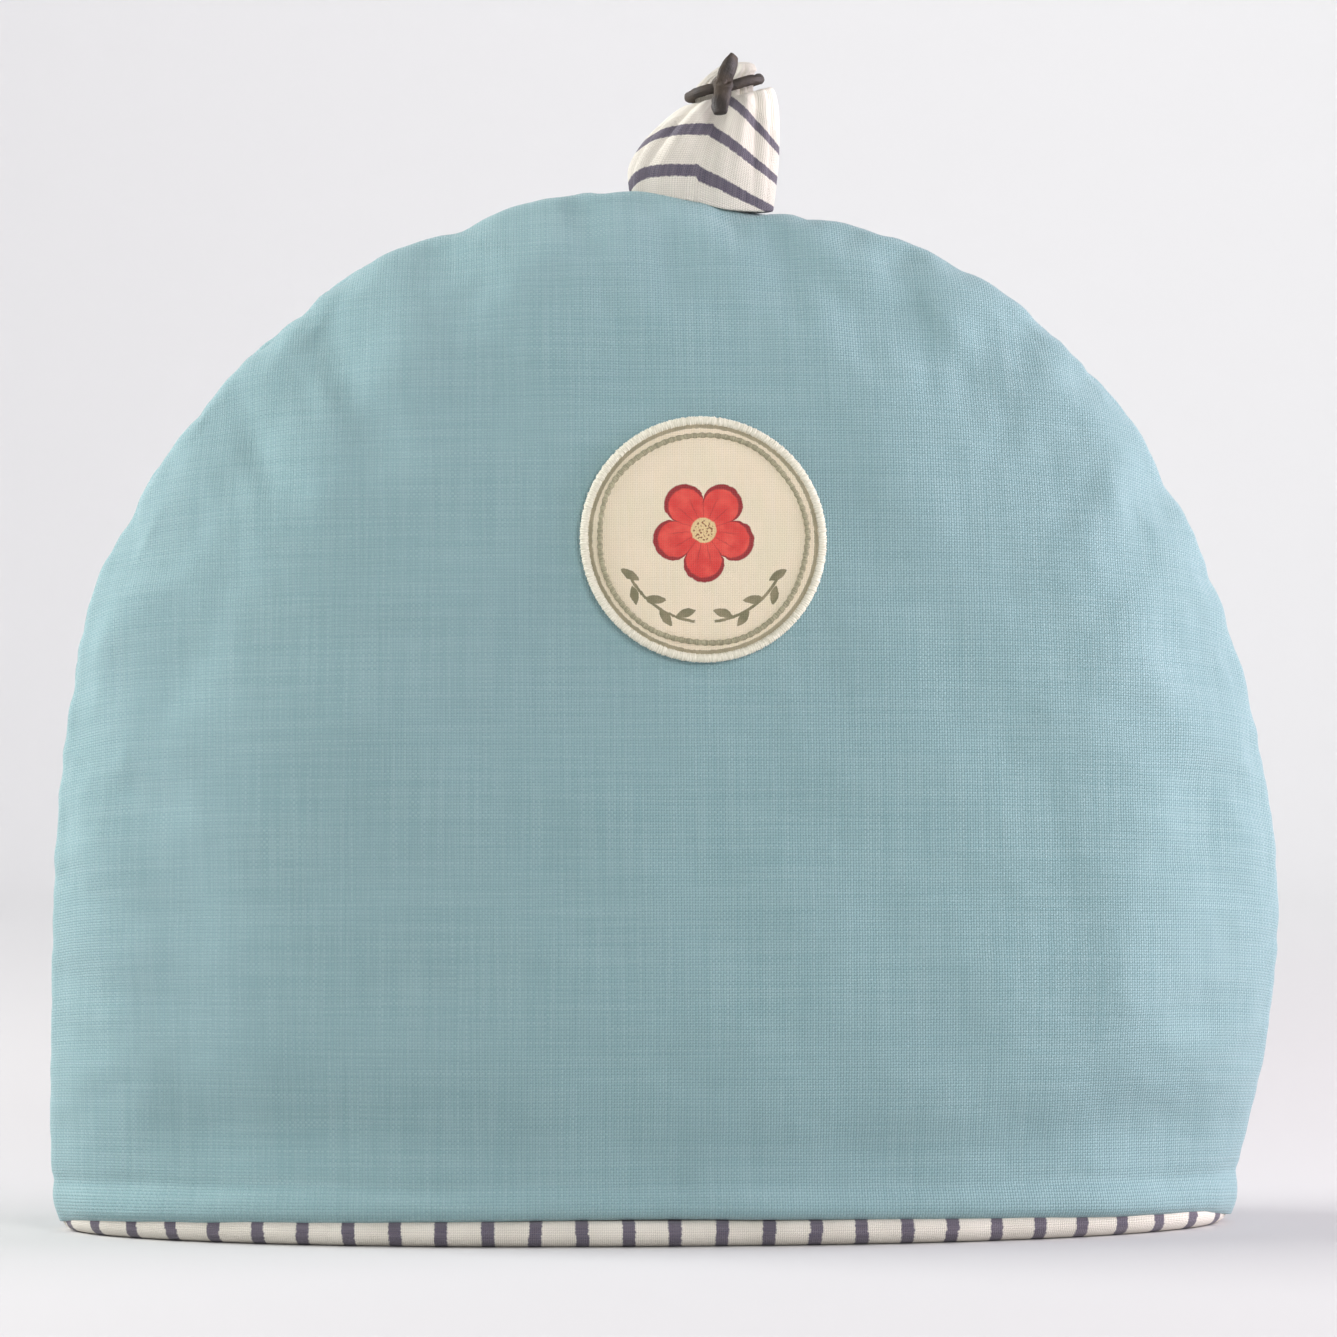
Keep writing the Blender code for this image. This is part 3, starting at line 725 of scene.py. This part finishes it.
# Fine pleats: angle at the foot, turn on the way up, depth as a share, spread
KNOB_FINE = (
    (196, 8, 0.05, 4), (213, 10, 0.07, 4), (236, 9, 0.07, 5), (250, 5, 0.09, 4),
    (278, -4, 0.09, 4), (292, -8, 0.07, 5), (318, -10, 0.08, 4), (334, -9, 0.05, 4),
    (20, 6, 0.06, 5), (38, 9, 0.07, 5), (64, 8, 0.07, 4), (80, 4, 0.08, 4),
    (106, -5, 0.08, 4), (124, -8, 0.06, 5), (152, -8, 0.07, 4), (170, -5, 0.05, 4),
)
FINE_TURN = 1.6  # the fine pleats' turns are scaled by this
FINE_UP = (0, 0.2, 0.5, 0.66, 0.85, 1)  # shares of the way up
FINE_DEPTH = (0.3, 0.6, 1.1, 1.8, 1.6, 1.0)  # how deep the fine pleats are there
KNOB_COLUMNS = 240
KNOB_STEPS = 9  # rows between two rings
# Rings that close the top: share of the last ring's width, rise, stripe shift
KNOB_TIP = ((0.8, 0.45, 0.4), (0.5, 0.75, 1.2), (0.12, 0.85, 2.4))
GROOVES = (264.0, 92.0)  # where the right lobe meets the left one, in front and behind
GROOVE_BLEND = 4.0
LEFT_STRIPES = (247.4, 10.1, 2.4)  # height of stripe 0, spacing, last stripe
RIGHT_STRIPES = (243.7, 12.6, 3.4)
RIGHT_FAN = (8.0, 0.19, 0.257)  # x of that height and spacing, fall and closing from there
STRIPE_CURL = (4.0, 2.0)  # drop of the stripes at the left edge, and how far in it goes


def crest_height(x, y):
    """Height of the wall's outer face over points near the top of the cosy."""
    low, high = np.full_like(x, 200.0), np.full_like(x, 260.0)
    for _ in range(30):
        middle = (low + high) / 2
        front, back = (outer_depth(x, middle, folds) for folds in (FRONT_FOLDS, BACK_FOLDS))
        inside = np.where(y < 0, front, back) > abs(y)
        low = np.where(inside, middle, low)
        high = np.where(inside, high, middle)
    return low


def knob_ring(ring, degrees):
    height, left, right, depth, left_up, right_up, gather = ring
    size = np.ones_like(degrees)
    for angle, share, spread in KNOB_PLEATS:
        size -= gather * share * bell(between(degrees, angle), 0, spread)
    along = np.cos(np.radians(degrees))
    x = (left + right) / 2 + size * (right - left) / 2 * along
    y = size * depth * np.sin(np.radians(degrees))
    end_up = np.where(along > 0, right_up, left_up)
    return np.stack((x, y, height + end_up * abs(along) ** KNOB_END_CURVE), 1)


def smooth_rows(rows, steps):
    """Rows of points joined by smooth curves through them."""
    rows = np.array(rows)
    last = len(rows) - 1
    found = [
        curve_between(rows[max(i - 1, 0)], rows[i], rows[i + 1], rows[min(i + 2, last)], share)
        for i in range(last) for share in np.arange(steps) / steps]
    return np.array(found + [rows[-1]])


def knob_stripes(points, degrees):
    """Which stripe a point of the topknot lies on: whole numbers are stripe middles."""
    x, z = points[:, :, 0], points[:, :, 2]
    inward = x - x.min(axis=1, keepdims=True)
    drop = STRIPE_CURL[0] * np.exp(-inward / STRIPE_CURL[1])
    height, spacing, last = LEFT_STRIPES
    left = np.minimum((z - height + drop) / spacing, last)
    height, spacing, last = RIGHT_STRIPES
    start, fall, closer = RIGHT_FAN
    right = (z - height + fall * (x - start)) / (spacing - closer * (x - start))
    right = np.minimum(right, last)
    front, back = (between(degrees, groove) / GROOVE_BLEND for groove in GROOVES)
    is_right = np.clip(0.5 + np.where(degrees > 180, front, -back), 0, 1)
    return left + (right - left) * is_right[None, :]


def make_topknot(cloth):
    degrees = 360 * np.arange(KNOB_COLUMNS) / KNOB_COLUMNS
    turn = np.radians(degrees)[None, :]
    foot = knob_ring(KNOB_FOOT, degrees)
    foot[:, 2] = crest_height(foot[:, 0], foot[:, 1]) + KNOB_SEAT
    points = smooth_rows([foot] + [knob_ring(r, degrees) for r in KNOB_RINGS], KNOB_STEPS)
    rows = len(points)
    up = np.linspace(0, 1, rows)[:, None]
    shrink = sum(
        share * bell(between(degrees - turned * up * FINE_TURN, angle), 0, spread)
        for angle, turned, share, spread in KNOB_FINE)
    shrink *= np.interp(up, FINE_UP, FINE_DEPTH)
    shrink += waves(0.012, 91, 10, 0.25, 0.8, up * 2.2, np.cos(turn), np.sin(turn))
    centre = points.mean(axis=1, keepdims=True)
    points[1:, :, :2] = (centre + (points - centre) * (1 - shrink[:, :, None]))[1:, :, :2]

    stripe = knob_stripes(points, degrees)
    stripe = np.concatenate((stripe, stripe[:, :1]), 1)
    around = lengths_along(np.concatenate((points[rows // 3], points[rows // 3, :1])))
    uv = uv_lattice(stripe * STRIPE_PITCH, around[None, :])
    top, top_uv = points[-1], uv[-1:]
    middle = top.mean(axis=0)
    tip = [middle + (top - middle) * share + (0, 0, rise) for share, rise, _ in KNOB_TIP]
    points = np.concatenate((points, np.array(tip)))
    uv = np.concatenate((uv, *(top_uv + (shift, 0) for *_, shift in KNOB_TIP)))
    shell = Shell()
    shell.cap(shell.add(points, uv, wrap=True), uv)
    return shell.build("topknot_cloth", "topknot", "striped_cloth", cloth)


# ---- tie

TIE_MIDDLE = (14.1, 0.0, 278.2)
TIE_HALF = (9.0, 6.5)
TIE_LEAN = math.radians(15)
TIE_RADIUS = 1.3
TIE_FLAT = 0.86
TIE_KNOT = (13.2, -7.8, 278.0)
# Turns round that point: cosine part, sine part, shift, radius
KNOT_TURNS = (
    ((0.9, 0.0, 1.9), (0.5, 1.5, 0.0), (0.0, 0.0, 0.0), 1.05),
    ((1.7, 0.0, 0.0), (0.0, 1.2, 0.9), (0.0, -0.5, 0.2), 0.95),
)
KNOT_FLAT = 0.9
# Points along the thong's two free ends.
TIE_ENDS = (
    ((12.9, -7.6, 277.0), (13.4, -8.8, 279.4), (14.4, -8.9, 281.8), (15.9, -7.8, 285.2)),
    ((13.6, -7.4, 279.0), (13.0, -9.6, 276.6), (12.4, -11.2, 273.8), (12.1, -12.3, 270.6)),
)
END_SHARES = (0, 0.2, 0.85, 1)  # along a free end, with its half width there
END_WIDTHS = (1.6, 2.2, 2.1, 1.5)
END_FLAT = 0.52
END_TWIST = 0.05
TUBE_COLUMNS = 14
FRONTWARD = np.array((0.15, -1.0, 0.1))


def tube(shell, path, radii, flat, closed=False, twist=0.0):
    """A thong along a path, with its half width at each point and flatness."""
    radii = np.broadcast_to(radii, len(path))
    if closed:
        ahead = ways_along(path)
        lengths = lengths_along(np.concatenate((path, path[:1])))
    else:
        ahead = np.gradient(path, axis=0)
        ahead /= np.linalg.norm(ahead, axis=1, keepdims=True)
        lengths = lengths_along(path)
    turn = turns(TUBE_COLUMNS)
    out, rings = FRONTWARD, []
    for point, way, length, radius in zip(path, ahead, lengths, radii):
        if closed:
            out = point - path.mean(axis=0)
        side = out - way * out.dot(way)
        side /= np.linalg.norm(side)
        lean = twist * length + 0.15 * math.sin(length * 0.9)
        a = side * math.cos(lean) + np.cross(way, side) * math.sin(lean)
        b = np.cross(way, a)
        rough = 1 + 0.05 * np.sin(3 * turn + length * 1.3) + 0.03 * np.sin(
            5 * turn - length * 2.1)
        ring = (np.cos(turn) * flat * rough)[:, None] * a + (np.sin(turn) * rough)[:, None] * b
        rings.append(point + radius * ring)
        out = side
    around = np.linspace(0, TAU * TIE_RADIUS, TUBE_COLUMNS + 1)
    uv = uv_lattice(around[None, :], lengths[:, None])
    if closed:
        shell.loop(np.array(rings), uv)
    else:
        shell.cap(shell.add(np.array(rings), uv, wrap=True), uv)


def make_tie(thong):
    shell = Shell()
    turn = turns(72)
    loop = np.stack((TIE_HALF[0] * np.cos(turn), TIE_HALF[1] * np.sin(turn), 0 * turn), 1)
    loop[:, 2] += 0.25 * np.sin(2 * turn + 0.6) + 0.15 * np.sin(5 * turn)
    lean = np.array((
        (math.cos(TIE_LEAN), 0, math.sin(TIE_LEAN)),
        (0, 1, 0),
        (-math.sin(TIE_LEAN), 0, math.cos(TIE_LEAN)),
    ))
    tube(shell, loop @ lean + TIE_MIDDLE, TIE_RADIUS, TIE_FLAT, closed=True)
    # knot: short turns round the crossing, and the two ends that leave it
    wrap = turns(28)[:, None]
    for cosines, sines, shift, radius in KNOT_TURNS:
        path = np.array(cosines) * np.cos(wrap) + np.array(sines) * np.sin(wrap) + shift
        tube(shell, path + TIE_KNOT, radius, KNOT_FLAT, closed=True)
    for path in TIE_ENDS:
        smooth = smooth_rows(path, 8)
        width = np.interp(np.linspace(0, 1, len(smooth)), END_SHARES, END_WIDTHS)
        tube(shell, smooth, width, END_FLAT, twist=END_TWIST)
    return shell.build("thong_tie", "topknot_tie", "thong", thong)


# ---- materials


class Nodes:
    """A short way to write shader nodes: a sheet of maths on sockets."""

    def __init__(self, name):
        self.material = bpy.data.materials.new(name)
        self.material.use_nodes = True
        self.tree = self.material.node_tree
        self.shader = self.tree.nodes["Principled BSDF"]

    def fill(self, node, inputs):
        """Gives each input its number or colour, or links another node's socket to it."""
        for name, value in inputs.items():
            if isinstance(value, bpy.types.NodeSocket):
                self.tree.links.new(value, node.inputs[name])
            else:
                node.inputs[name].default_value = value

    def node(self, kind, inputs, output=0, **settings):
        made = self.tree.nodes.new(kind)
        for key, value in settings.items():
            setattr(made, key, value)
        self.fill(made, inputs)
        return made.outputs[output]

    def maths(self, operation, *values):
        return self.node("ShaderNodeMath", dict(enumerate(values)), operation=operation)

    def add(self, a, b):
        return self.maths("ADD", a, b)

    def times(self, a, b):
        return self.maths("MULTIPLY", a, b)

    def root_of_squares(self, a, b):
        return self.maths("SQRT", self.add(self.times(a, a), self.times(b, b)))

    def either(self, which, a, b):
        """a where which is 1, and b where it is 0."""
        return self.add(self.times(a, which), self.times(b, self.maths("SUBTRACT", 1.0, which)))

    def split(self, vector):
        """The first two parts of a vector."""
        first = self.node("ShaderNodeSeparateXYZ", {0: vector})
        return first, first.node.outputs[1]

    def join(self, x, y, z=0.0):
        return self.node("ShaderNodeCombineXYZ", {0: x, 1: y, 2: z})

    def uv(self):
        return self.node("ShaderNodeUVMap", {}, uv_map="cloth")

    def place(self):
        return self.node("ShaderNodeTexCoord", {}, "Object")

    def noise(self, vector, scale, detail=2.0):
        inputs = {"Vector": vector, "Scale": scale, "Detail": detail}
        return self.node("ShaderNodeTexNoise", inputs, "Fac")

    def smooth(self, value, low, high, to_low=0.0, to_high=1.0):
        inputs = {"Value": value, "From Min": low, "From Max": high,
                  "To Min": to_low, "To Max": to_high}
        return self.node("ShaderNodeMapRange", inputs, interpolation_type="SMOOTHSTEP")

    def mix(self, share, a, b):
        """A colour between two, each a socket or three numbers."""
        a, b = ((*c, 1.0) if isinstance(c, tuple) else c for c in (a, b))
        return self.node("ShaderNodeMix", {"Factor": share, 6: a, 7: b}, 2, data_type="RGBA")

    def shade(self, colour, roughness, height, depth, sheen=0.0, sheen_roughness=0.5):
        bump = self.node("ShaderNodeBump", {"Strength": 1.0, "Distance": depth, "Height": height})
        self.fill(self.shader, {
            "Base Color": colour, "Roughness": roughness, "Normal": bump,
            "Sheen Weight": sheen, "Sheen Roughness": sheen_roughness})
        return self.material


SLUB_WIDTH = 0.9  # of a streak of thicker thread
SLUB_LENGTH = 38.0
THREAD_WOBBLE = 0.5  # of a thread, in threads


def weave(n, pitch):
    """Plain weave over the cloth UV: height of the threads, and which set is on top."""
    x, y = n.split(n.uv())
    wobble = n.times(n.noise(n.join(x, y), 160.0), THREAD_WOBBLE)
    x, y = (n.add(n.times(part, 1 / pitch), wobble) for part in (x, y))
    checks = n.add(n.maths("FLOOR", x), n.maths("FLOOR", y))
    warp_on_top = n.maths("PINGPONG", checks, 1.0)
    across, along = (
        n.maths("COSINE", n.times(n.add(n.maths("FRACT", part), -0.5), math.pi))
        for part in (x, y))
    warp = n.times(across, n.add(n.times(along, 0.5), 0.5))
    weft = n.times(along, n.add(n.times(across, 0.5), 0.5))
    return n.either(warp_on_top, warp, weft), warp_on_top


def slubs(n):
    """Thicker and thinner threads, as streaks along both ways of the weave."""
    x, y = n.split(n.uv())
    fine, long = 1 / (SLUB_WIDTH * MM), 1 / (SLUB_LENGTH * MM)
    warp = n.noise(n.join(n.times(x, fine), n.times(y, long)), 1.0)
    weft = n.noise(n.join(n.times(x, long), n.times(y, fine), 7.0), 1.0)
    return warp, weft


def shaded_gaps(n, over, share, base, colour):
    """A cloth's colour, darkened with painted shade where its threads dip."""
    return n.mix(n.smooth(over, 0.0, 0.9, share, 0.0), base, colour)


def blue_cotton():
    n = Nodes("duck_egg_cotton")
    over, warp_on_top = weave(n, 0.66 * MM)
    streak = n.either(warp_on_top, *slubs(n))
    broad = n.noise(n.place(), 14.0, 3.0)
    base = n.mix(n.smooth(streak, 0.32, 0.72), (0.242, 0.395, 0.412), (0.308, 0.462, 0.476))
    base = n.mix(n.times(n.smooth(broad, 0.35, 0.7), 0.25), base, (0.30, 0.44, 0.475))
    base = shaded_gaps(n, over, 0.30, base, (0.13, 0.22, 0.25))
    height = n.add(over, n.times(streak, 0.7))
    roughness = n.smooth(streak, 0.2, 0.8, 0.95, 0.82)
    return n.shade(base, roughness, height, 0.16 * MM, sheen=0.25, sheen_roughness=0.45)


def striped_cotton():
    """Cream cotton with narrow slate-blue stripes across the first UV direction."""
    n = Nodes("striped_cotton")
    over, _ = weave(n, 0.5 * MM)
    warp, weft = slubs(n)
    x, _ = n.split(n.uv())
    edge = n.times(n.add(n.noise(n.uv(), 1500.0), -0.5), 0.9 * MM)
    drift = n.times(n.add(n.noise(n.uv(), 60.0, 1.0), -0.5), 1.2 * MM)
    place = n.add(n.add(x, edge), drift)
    from_middle = n.maths("PINGPONG", place, STRIPE_PITCH * MM / 2)
    dark = n.smooth(from_middle, 1.35 * MM, 1.75 * MM, 1.0, 0.0)
    broad = n.noise(n.place(), 60.0, 3.0)
    cream = n.mix(n.smooth(broad, 0.3, 0.75), (0.88, 0.83, 0.73), (0.80, 0.75, 0.65))
    slate = n.mix(n.smooth(weft, 0.3, 0.7), (0.093, 0.081, 0.119), (0.150, 0.130, 0.172))
    base = shaded_gaps(n, over, 0.28, n.mix(dark, cream, slate), (0.25, 0.22, 0.20))
    height = n.add(over, n.times(warp, 0.7))
    return n.shade(base, 0.9, height, 0.13 * MM, sheen=0.2, sheen_roughness=0.5)


FLOWER_RADIUS = 12.5
FLOWER_RISE = 2.0  # of its middle over the badge's
# Leaves of the right sprig: angle round the badge, distance out, lean, half length
LEAVES = (
    (-26, 19.6, -32, 2.6), (-39, 21.4, 28, 2.4), (-51, 18.6, -34, 2.7), (-64, 21.0, 26, 2.4),
    (-76, 18.2, -30, 2.5),
)
LEAF_HALF_WIDTH = 1.05
SPRIG_RADIUS = 19.8
SPRIG_SPAN = (-84, -23)
BORDER_SHADE_RADIUS = 26.95  # painted shade of the border: a thin olive line just inside it


def flower(n, base, x, y, tone):
    """The badge's colour with five red petals and a seeded heart over it."""
    y = n.add(y, -FLOWER_RISE)
    radius, turn = n.root_of_squares(x, y), n.maths("ARCTAN2", y, x)
    lobes = n.maths("ABSOLUTE", n.maths("COSINE", n.add(n.times(turn, 2.5), 0.8)))
    reach = n.times(n.maths("POWER", lobes, 0.55), 0.42 * FLOWER_RADIUS)
    inside = n.maths("SUBTRACT", n.add(reach, 0.58 * FLOWER_RADIUS), radius)
    veins = n.maths("ABSOLUTE", n.maths("SINE", n.add(n.times(turn, 7.5), 0.8)))
    vein = n.times(n.smooth(veins, 0.24, 0.08), n.smooth(radius, 9.0, 6.0))
    red = n.mix(tone, (0.72, 0.035, 0.03), (0.84, 0.085, 0.06))
    red = n.mix(n.times(vein, 0.6), red, (0.45, 0.012, 0.018))
    red = n.mix(n.smooth(inside, 1.5, 1.0), red, (0.30, 0.008, 0.015))
    base = n.mix(n.smooth(inside, -0.1, 0.25), base, red)
    base = n.mix(n.smooth(radius, 3.2, 2.8), base, (0.80, 0.60, 0.30))
    seeds = n.smooth(n.noise(n.uv(), 1800.0, 0.0), 0.55, 0.62)
    return n.mix(n.times(seeds, n.smooth(radius, 2.6, 2.2)), base, (0.28, 0.10, 0.04))


def sprigs(n, x, y, radius):
    """Where a leafy sprig is printed on the right, and its mirror image on the left."""
    x = n.maths("ABSOLUTE", x)
    low, high = SPRIG_SPAN
    degrees = n.times(n.maths("ARCTAN2", y, x), 180 / math.pi)
    span = n.times(n.smooth(degrees, low, low + 1.5), n.smooth(degrees, high, high - 1.5))
    stem = n.smooth(n.maths("ABSOLUTE", n.add(radius, -SPRIG_RADIUS)), 0.42, 0.26)
    found = n.times(stem, span)
    for angle, out, lean, half in LEAVES:
        turn, along = math.radians(angle), math.radians(angle + 90 + lean)
        cosine, sine = math.cos(along), math.sin(along)
        dx = n.add(x, -out * math.cos(turn))
        dy = n.add(y, -out * math.sin(turn))
        u = n.add(n.times(dx, cosine / half), n.times(dy, sine / half))
        v = n.add(n.times(dx, -sine / LEAF_HALF_WIDTH), n.times(dy, cosine / LEAF_HALF_WIDTH))
        leaf = n.add(n.times(u, u), n.maths("ABSOLUTE", v))
        found = n.maths("MAXIMUM", found, n.smooth(leaf, 1.05, 0.9))
    return found


def badge_cotton():
    """Cream cotton printed with a plain red flower over two leafy sprigs."""
    n = Nodes("badge_cotton")
    over, _ = weave(n, 0.42 * MM)
    warp, weft = slubs(n)
    shake = n.times(n.add(n.noise(n.uv(), 900.0), -0.5), 0.6 * MM)
    x, y = (n.times(n.add(part, shake), 1 / MM) for part in n.split(n.uv()))
    radius = n.root_of_squares(x, y)
    broad = n.noise(n.uv(), 90.0, 3.0)
    tone = n.smooth(n.noise(n.uv(), 260.0), 0.35, 0.7)
    base = n.mix(n.smooth(broad, 0.3, 0.7), (0.90, 0.77, 0.57), (0.84, 0.75, 0.54))
    base = n.mix(n.times(n.smooth(warp, 0.4, 0.7), 0.25), base, (0.88, 0.78, 0.64))
    base = flower(n, base, x, y, tone)
    olive = n.mix(tone, (0.20, 0.19, 0.10), (0.30, 0.26, 0.15))
    base = n.mix(sprigs(n, x, y, radius), base, olive)
    # painted shade of the raised border, as a thin olive line on the cloth just inside it
    line = n.smooth(n.maths("ABSOLUTE", n.add(radius, -BORDER_SHADE_RADIUS)), 0.62, 0.34)
    base = n.mix(n.times(line, 0.8), base, olive)
    base = shaded_gaps(n, over, 0.22, base, (0.30, 0.24, 0.18))
    height = n.add(over, n.times(weft, 0.6))
    return n.shade(base, 0.88, height, 0.12 * MM, sheen=0.15)


def stitch_thread(name, light, dark, strands, sheen):
    """Glossy embroidery thread: fine strands that run across the second UV direction."""
    n = Nodes(name)
    x, y = n.split(n.uv())
    fibre = n.noise(n.join(n.times(x, strands), n.times(y, strands / 8)), 1.0)
    broad = n.noise(n.uv(), 240.0)
    base = n.mix(n.smooth(fibre, 0.3, 0.7), dark, light)
    base = n.mix(n.times(n.smooth(broad, 0.45, 0.7), 0.3), base, dark)
    return n.shade(base, 0.55, fibre, 0.08 * MM, sheen=sheen, sheen_roughness=0.35)


def thong_leather():
    """Dark brown waxed thong with a grain, worn lighter on its ridges."""
    n = Nodes("thong_leather")
    x, y = n.split(n.uv())
    cells = n.node("ShaderNodeTexVoronoi", {"Vector": n.uv(), "Scale": 2600.0}, "Distance")
    broad = n.noise(n.place(), 220.0, 4.0)
    fibre = n.noise(n.join(n.times(x, 3500.0), n.times(y, 260.0)), 1.0)
    base = n.mix(n.smooth(broad, 0.35, 0.68), (0.016, 0.010, 0.007), (0.058, 0.041, 0.027))
    base = n.mix(n.times(n.smooth(fibre, 0.5, 0.75), 0.4), base, (0.10, 0.075, 0.050))
    roughness = n.smooth(broad, 0.3, 0.7, 0.55, 0.75)
    return n.shade(base, roughness, n.add(n.times(cells, 0.7), fibre), 0.12 * MM)


# ---- pieces

blue = blue_cotton()
striped = striped_cotton()
front_cloth = make_wall(
    "front_cloth", "front_panel", -1, FRONT_FOLDS, FRONT_CREASES, 100, blue, striped)
back_cloth = make_wall(
    "back_cloth", "back_panel", 1, BACK_FOLDS, BACK_CREASES, 200, blue, striped)
hem_strip = make_hem(striped)
badge, badge_border, badge_ring = make_badge(
    badge_cotton(),
    stitch_thread("cream_thread", (0.85, 0.81, 0.68), (0.62, 0.59, 0.46), 5200.0, 0.3),
    stitch_thread("olive_thread", (0.40, 0.37, 0.24), (0.22, 0.20, 0.12), 4200.0, 0.2),
)
topknot_cloth = make_topknot(striped)
make_tie(thong_leather())


# ---- stage

# Metres from here on.
FLOOR_RADIUS = 1.7
COVE_RADIUS = 0.9
COVE_HEIGHT = 2.2
COVE_SIDES = 96
CAMERA_TURN = math.radians(-3.5)
CAMERA_DISTANCE = 1.2
CAMERA_TARGET = Vector((0.0004, 0.0, 0.1362))
SENSOR_WIDTH = 36.0
FRAME_WIDTH = 0.0002447 * 1337  # the photo's scale times its width
WORLD_COLOUR = (0.95, 0.97, 1.0, 1.0)
WORLD_STRENGTH = 0.30
# name, place, aim, size, power, colour
LAMPS = (
    ("key", (0.8, -1.5, 0.9), (0, 0, 0.12), 0.9, 13.5, (1, 1, 1)),
    ("right_side", (1.25, 0.02, 0.50), (0, 0, 0.13), 0.8, 20.0, (1.0, 0.89, 1.0)),
    ("left_side", (-1.12, 0.15, 0.74), (0, 0, 0.16), 0.7, 20.0, (1, 1, 1)),
    ("backdrop", (0.55, 1.0, 1.6), (0.45, 2.3, 1.0), 1.0, 12.0, (1, 1, 1)),
    ("left_wall", (-1.5, 0.2, 1.5), (-2.6, 0.2, 0.4), 1.0, 9.0, (1, 1, 1)),
)


def pale_floor():
    """A plain floor that curves up into a round wall far from the cosy, its colour painted darker
    near the cosy and paler far out.
    """
    bend = np.linspace(0, math.pi / 2, 19)
    out = np.concatenate(((0.001, 0.6, 1.2), FLOOR_RADIUS + COVE_RADIUS * np.sin(bend)))
    up = np.concatenate((np.zeros(3), COVE_RADIUS * (1 - np.cos(bend))))
    out, up = np.append(out, out[-1]), np.append(up, COVE_HEIGHT)
    around = turns(COVE_SIDES)
    points = np.stack(np.broadcast_arrays(
        out[:, None] * np.cos(around), out[:, None] * np.sin(around), up[:, None]), 2)
    ids = np.arange(len(out) * COVE_SIDES).reshape(len(out), COVE_SIDES)
    quads = corners_of(np.concatenate((ids, ids[:, :1]), 1)).reshape(-1, 4)
    sweep = new_mesh("sweep", points, quads.tolist() + [ids[0, ::-1].tolist()])
    sweep.data.shade_smooth()
    n = Nodes("pale_sweep")
    distance = n.root_of_squares(*n.split(n.place()))
    # painted shade near the cosy and painted light far out, which even out the lamps' fall-off
    near = n.smooth(distance, 0.3, 1.9)
    n.fill(n.shader, {
        "Base Color": n.mix(near, (0.58, 0.577, 0.57), (0.80, 0.80, 0.80)),
        "Roughness": 1.0, "Specular IOR Level": 0.0})
    sweep.data.materials.append(n.material)


def aimed(name, data, place, aim):
    item = new_object(name, data)
    item.location = place
    item.rotation_euler = (Vector(aim) - Vector(place)).to_track_quat("-Z", "Y").to_euler()
    return item


pale_floor()
world = bpy.data.worlds.new("studio")
world.use_nodes = True
background = world.node_tree.nodes["Background"]
background.inputs["Color"].default_value = WORLD_COLOUR
background.inputs["Strength"].default_value = WORLD_STRENGTH
bpy.context.scene.world = world
bpy.context.scene.view_settings.view_transform = "Standard"
for name, place, aim, size, power, colour in LAMPS:
    light = bpy.data.lights.new(name, "AREA")
    light.shape, light.size, light.energy, light.color = "DISK", size, power, colour
    aimed(name, light, place, aim)
lens = bpy.data.cameras.new("camera")
lens.sensor_width = SENSOR_WIDTH
lens.lens = SENSOR_WIDTH * CAMERA_DISTANCE / FRAME_WIDTH
lens.clip_end = 20.0
away = Vector((math.sin(CAMERA_TURN), -math.cos(CAMERA_TURN), 0.0))
bpy.context.scene.camera = aimed(
    "camera", lens, CAMERA_TARGET + CAMERA_DISTANCE * away, CAMERA_TARGET)
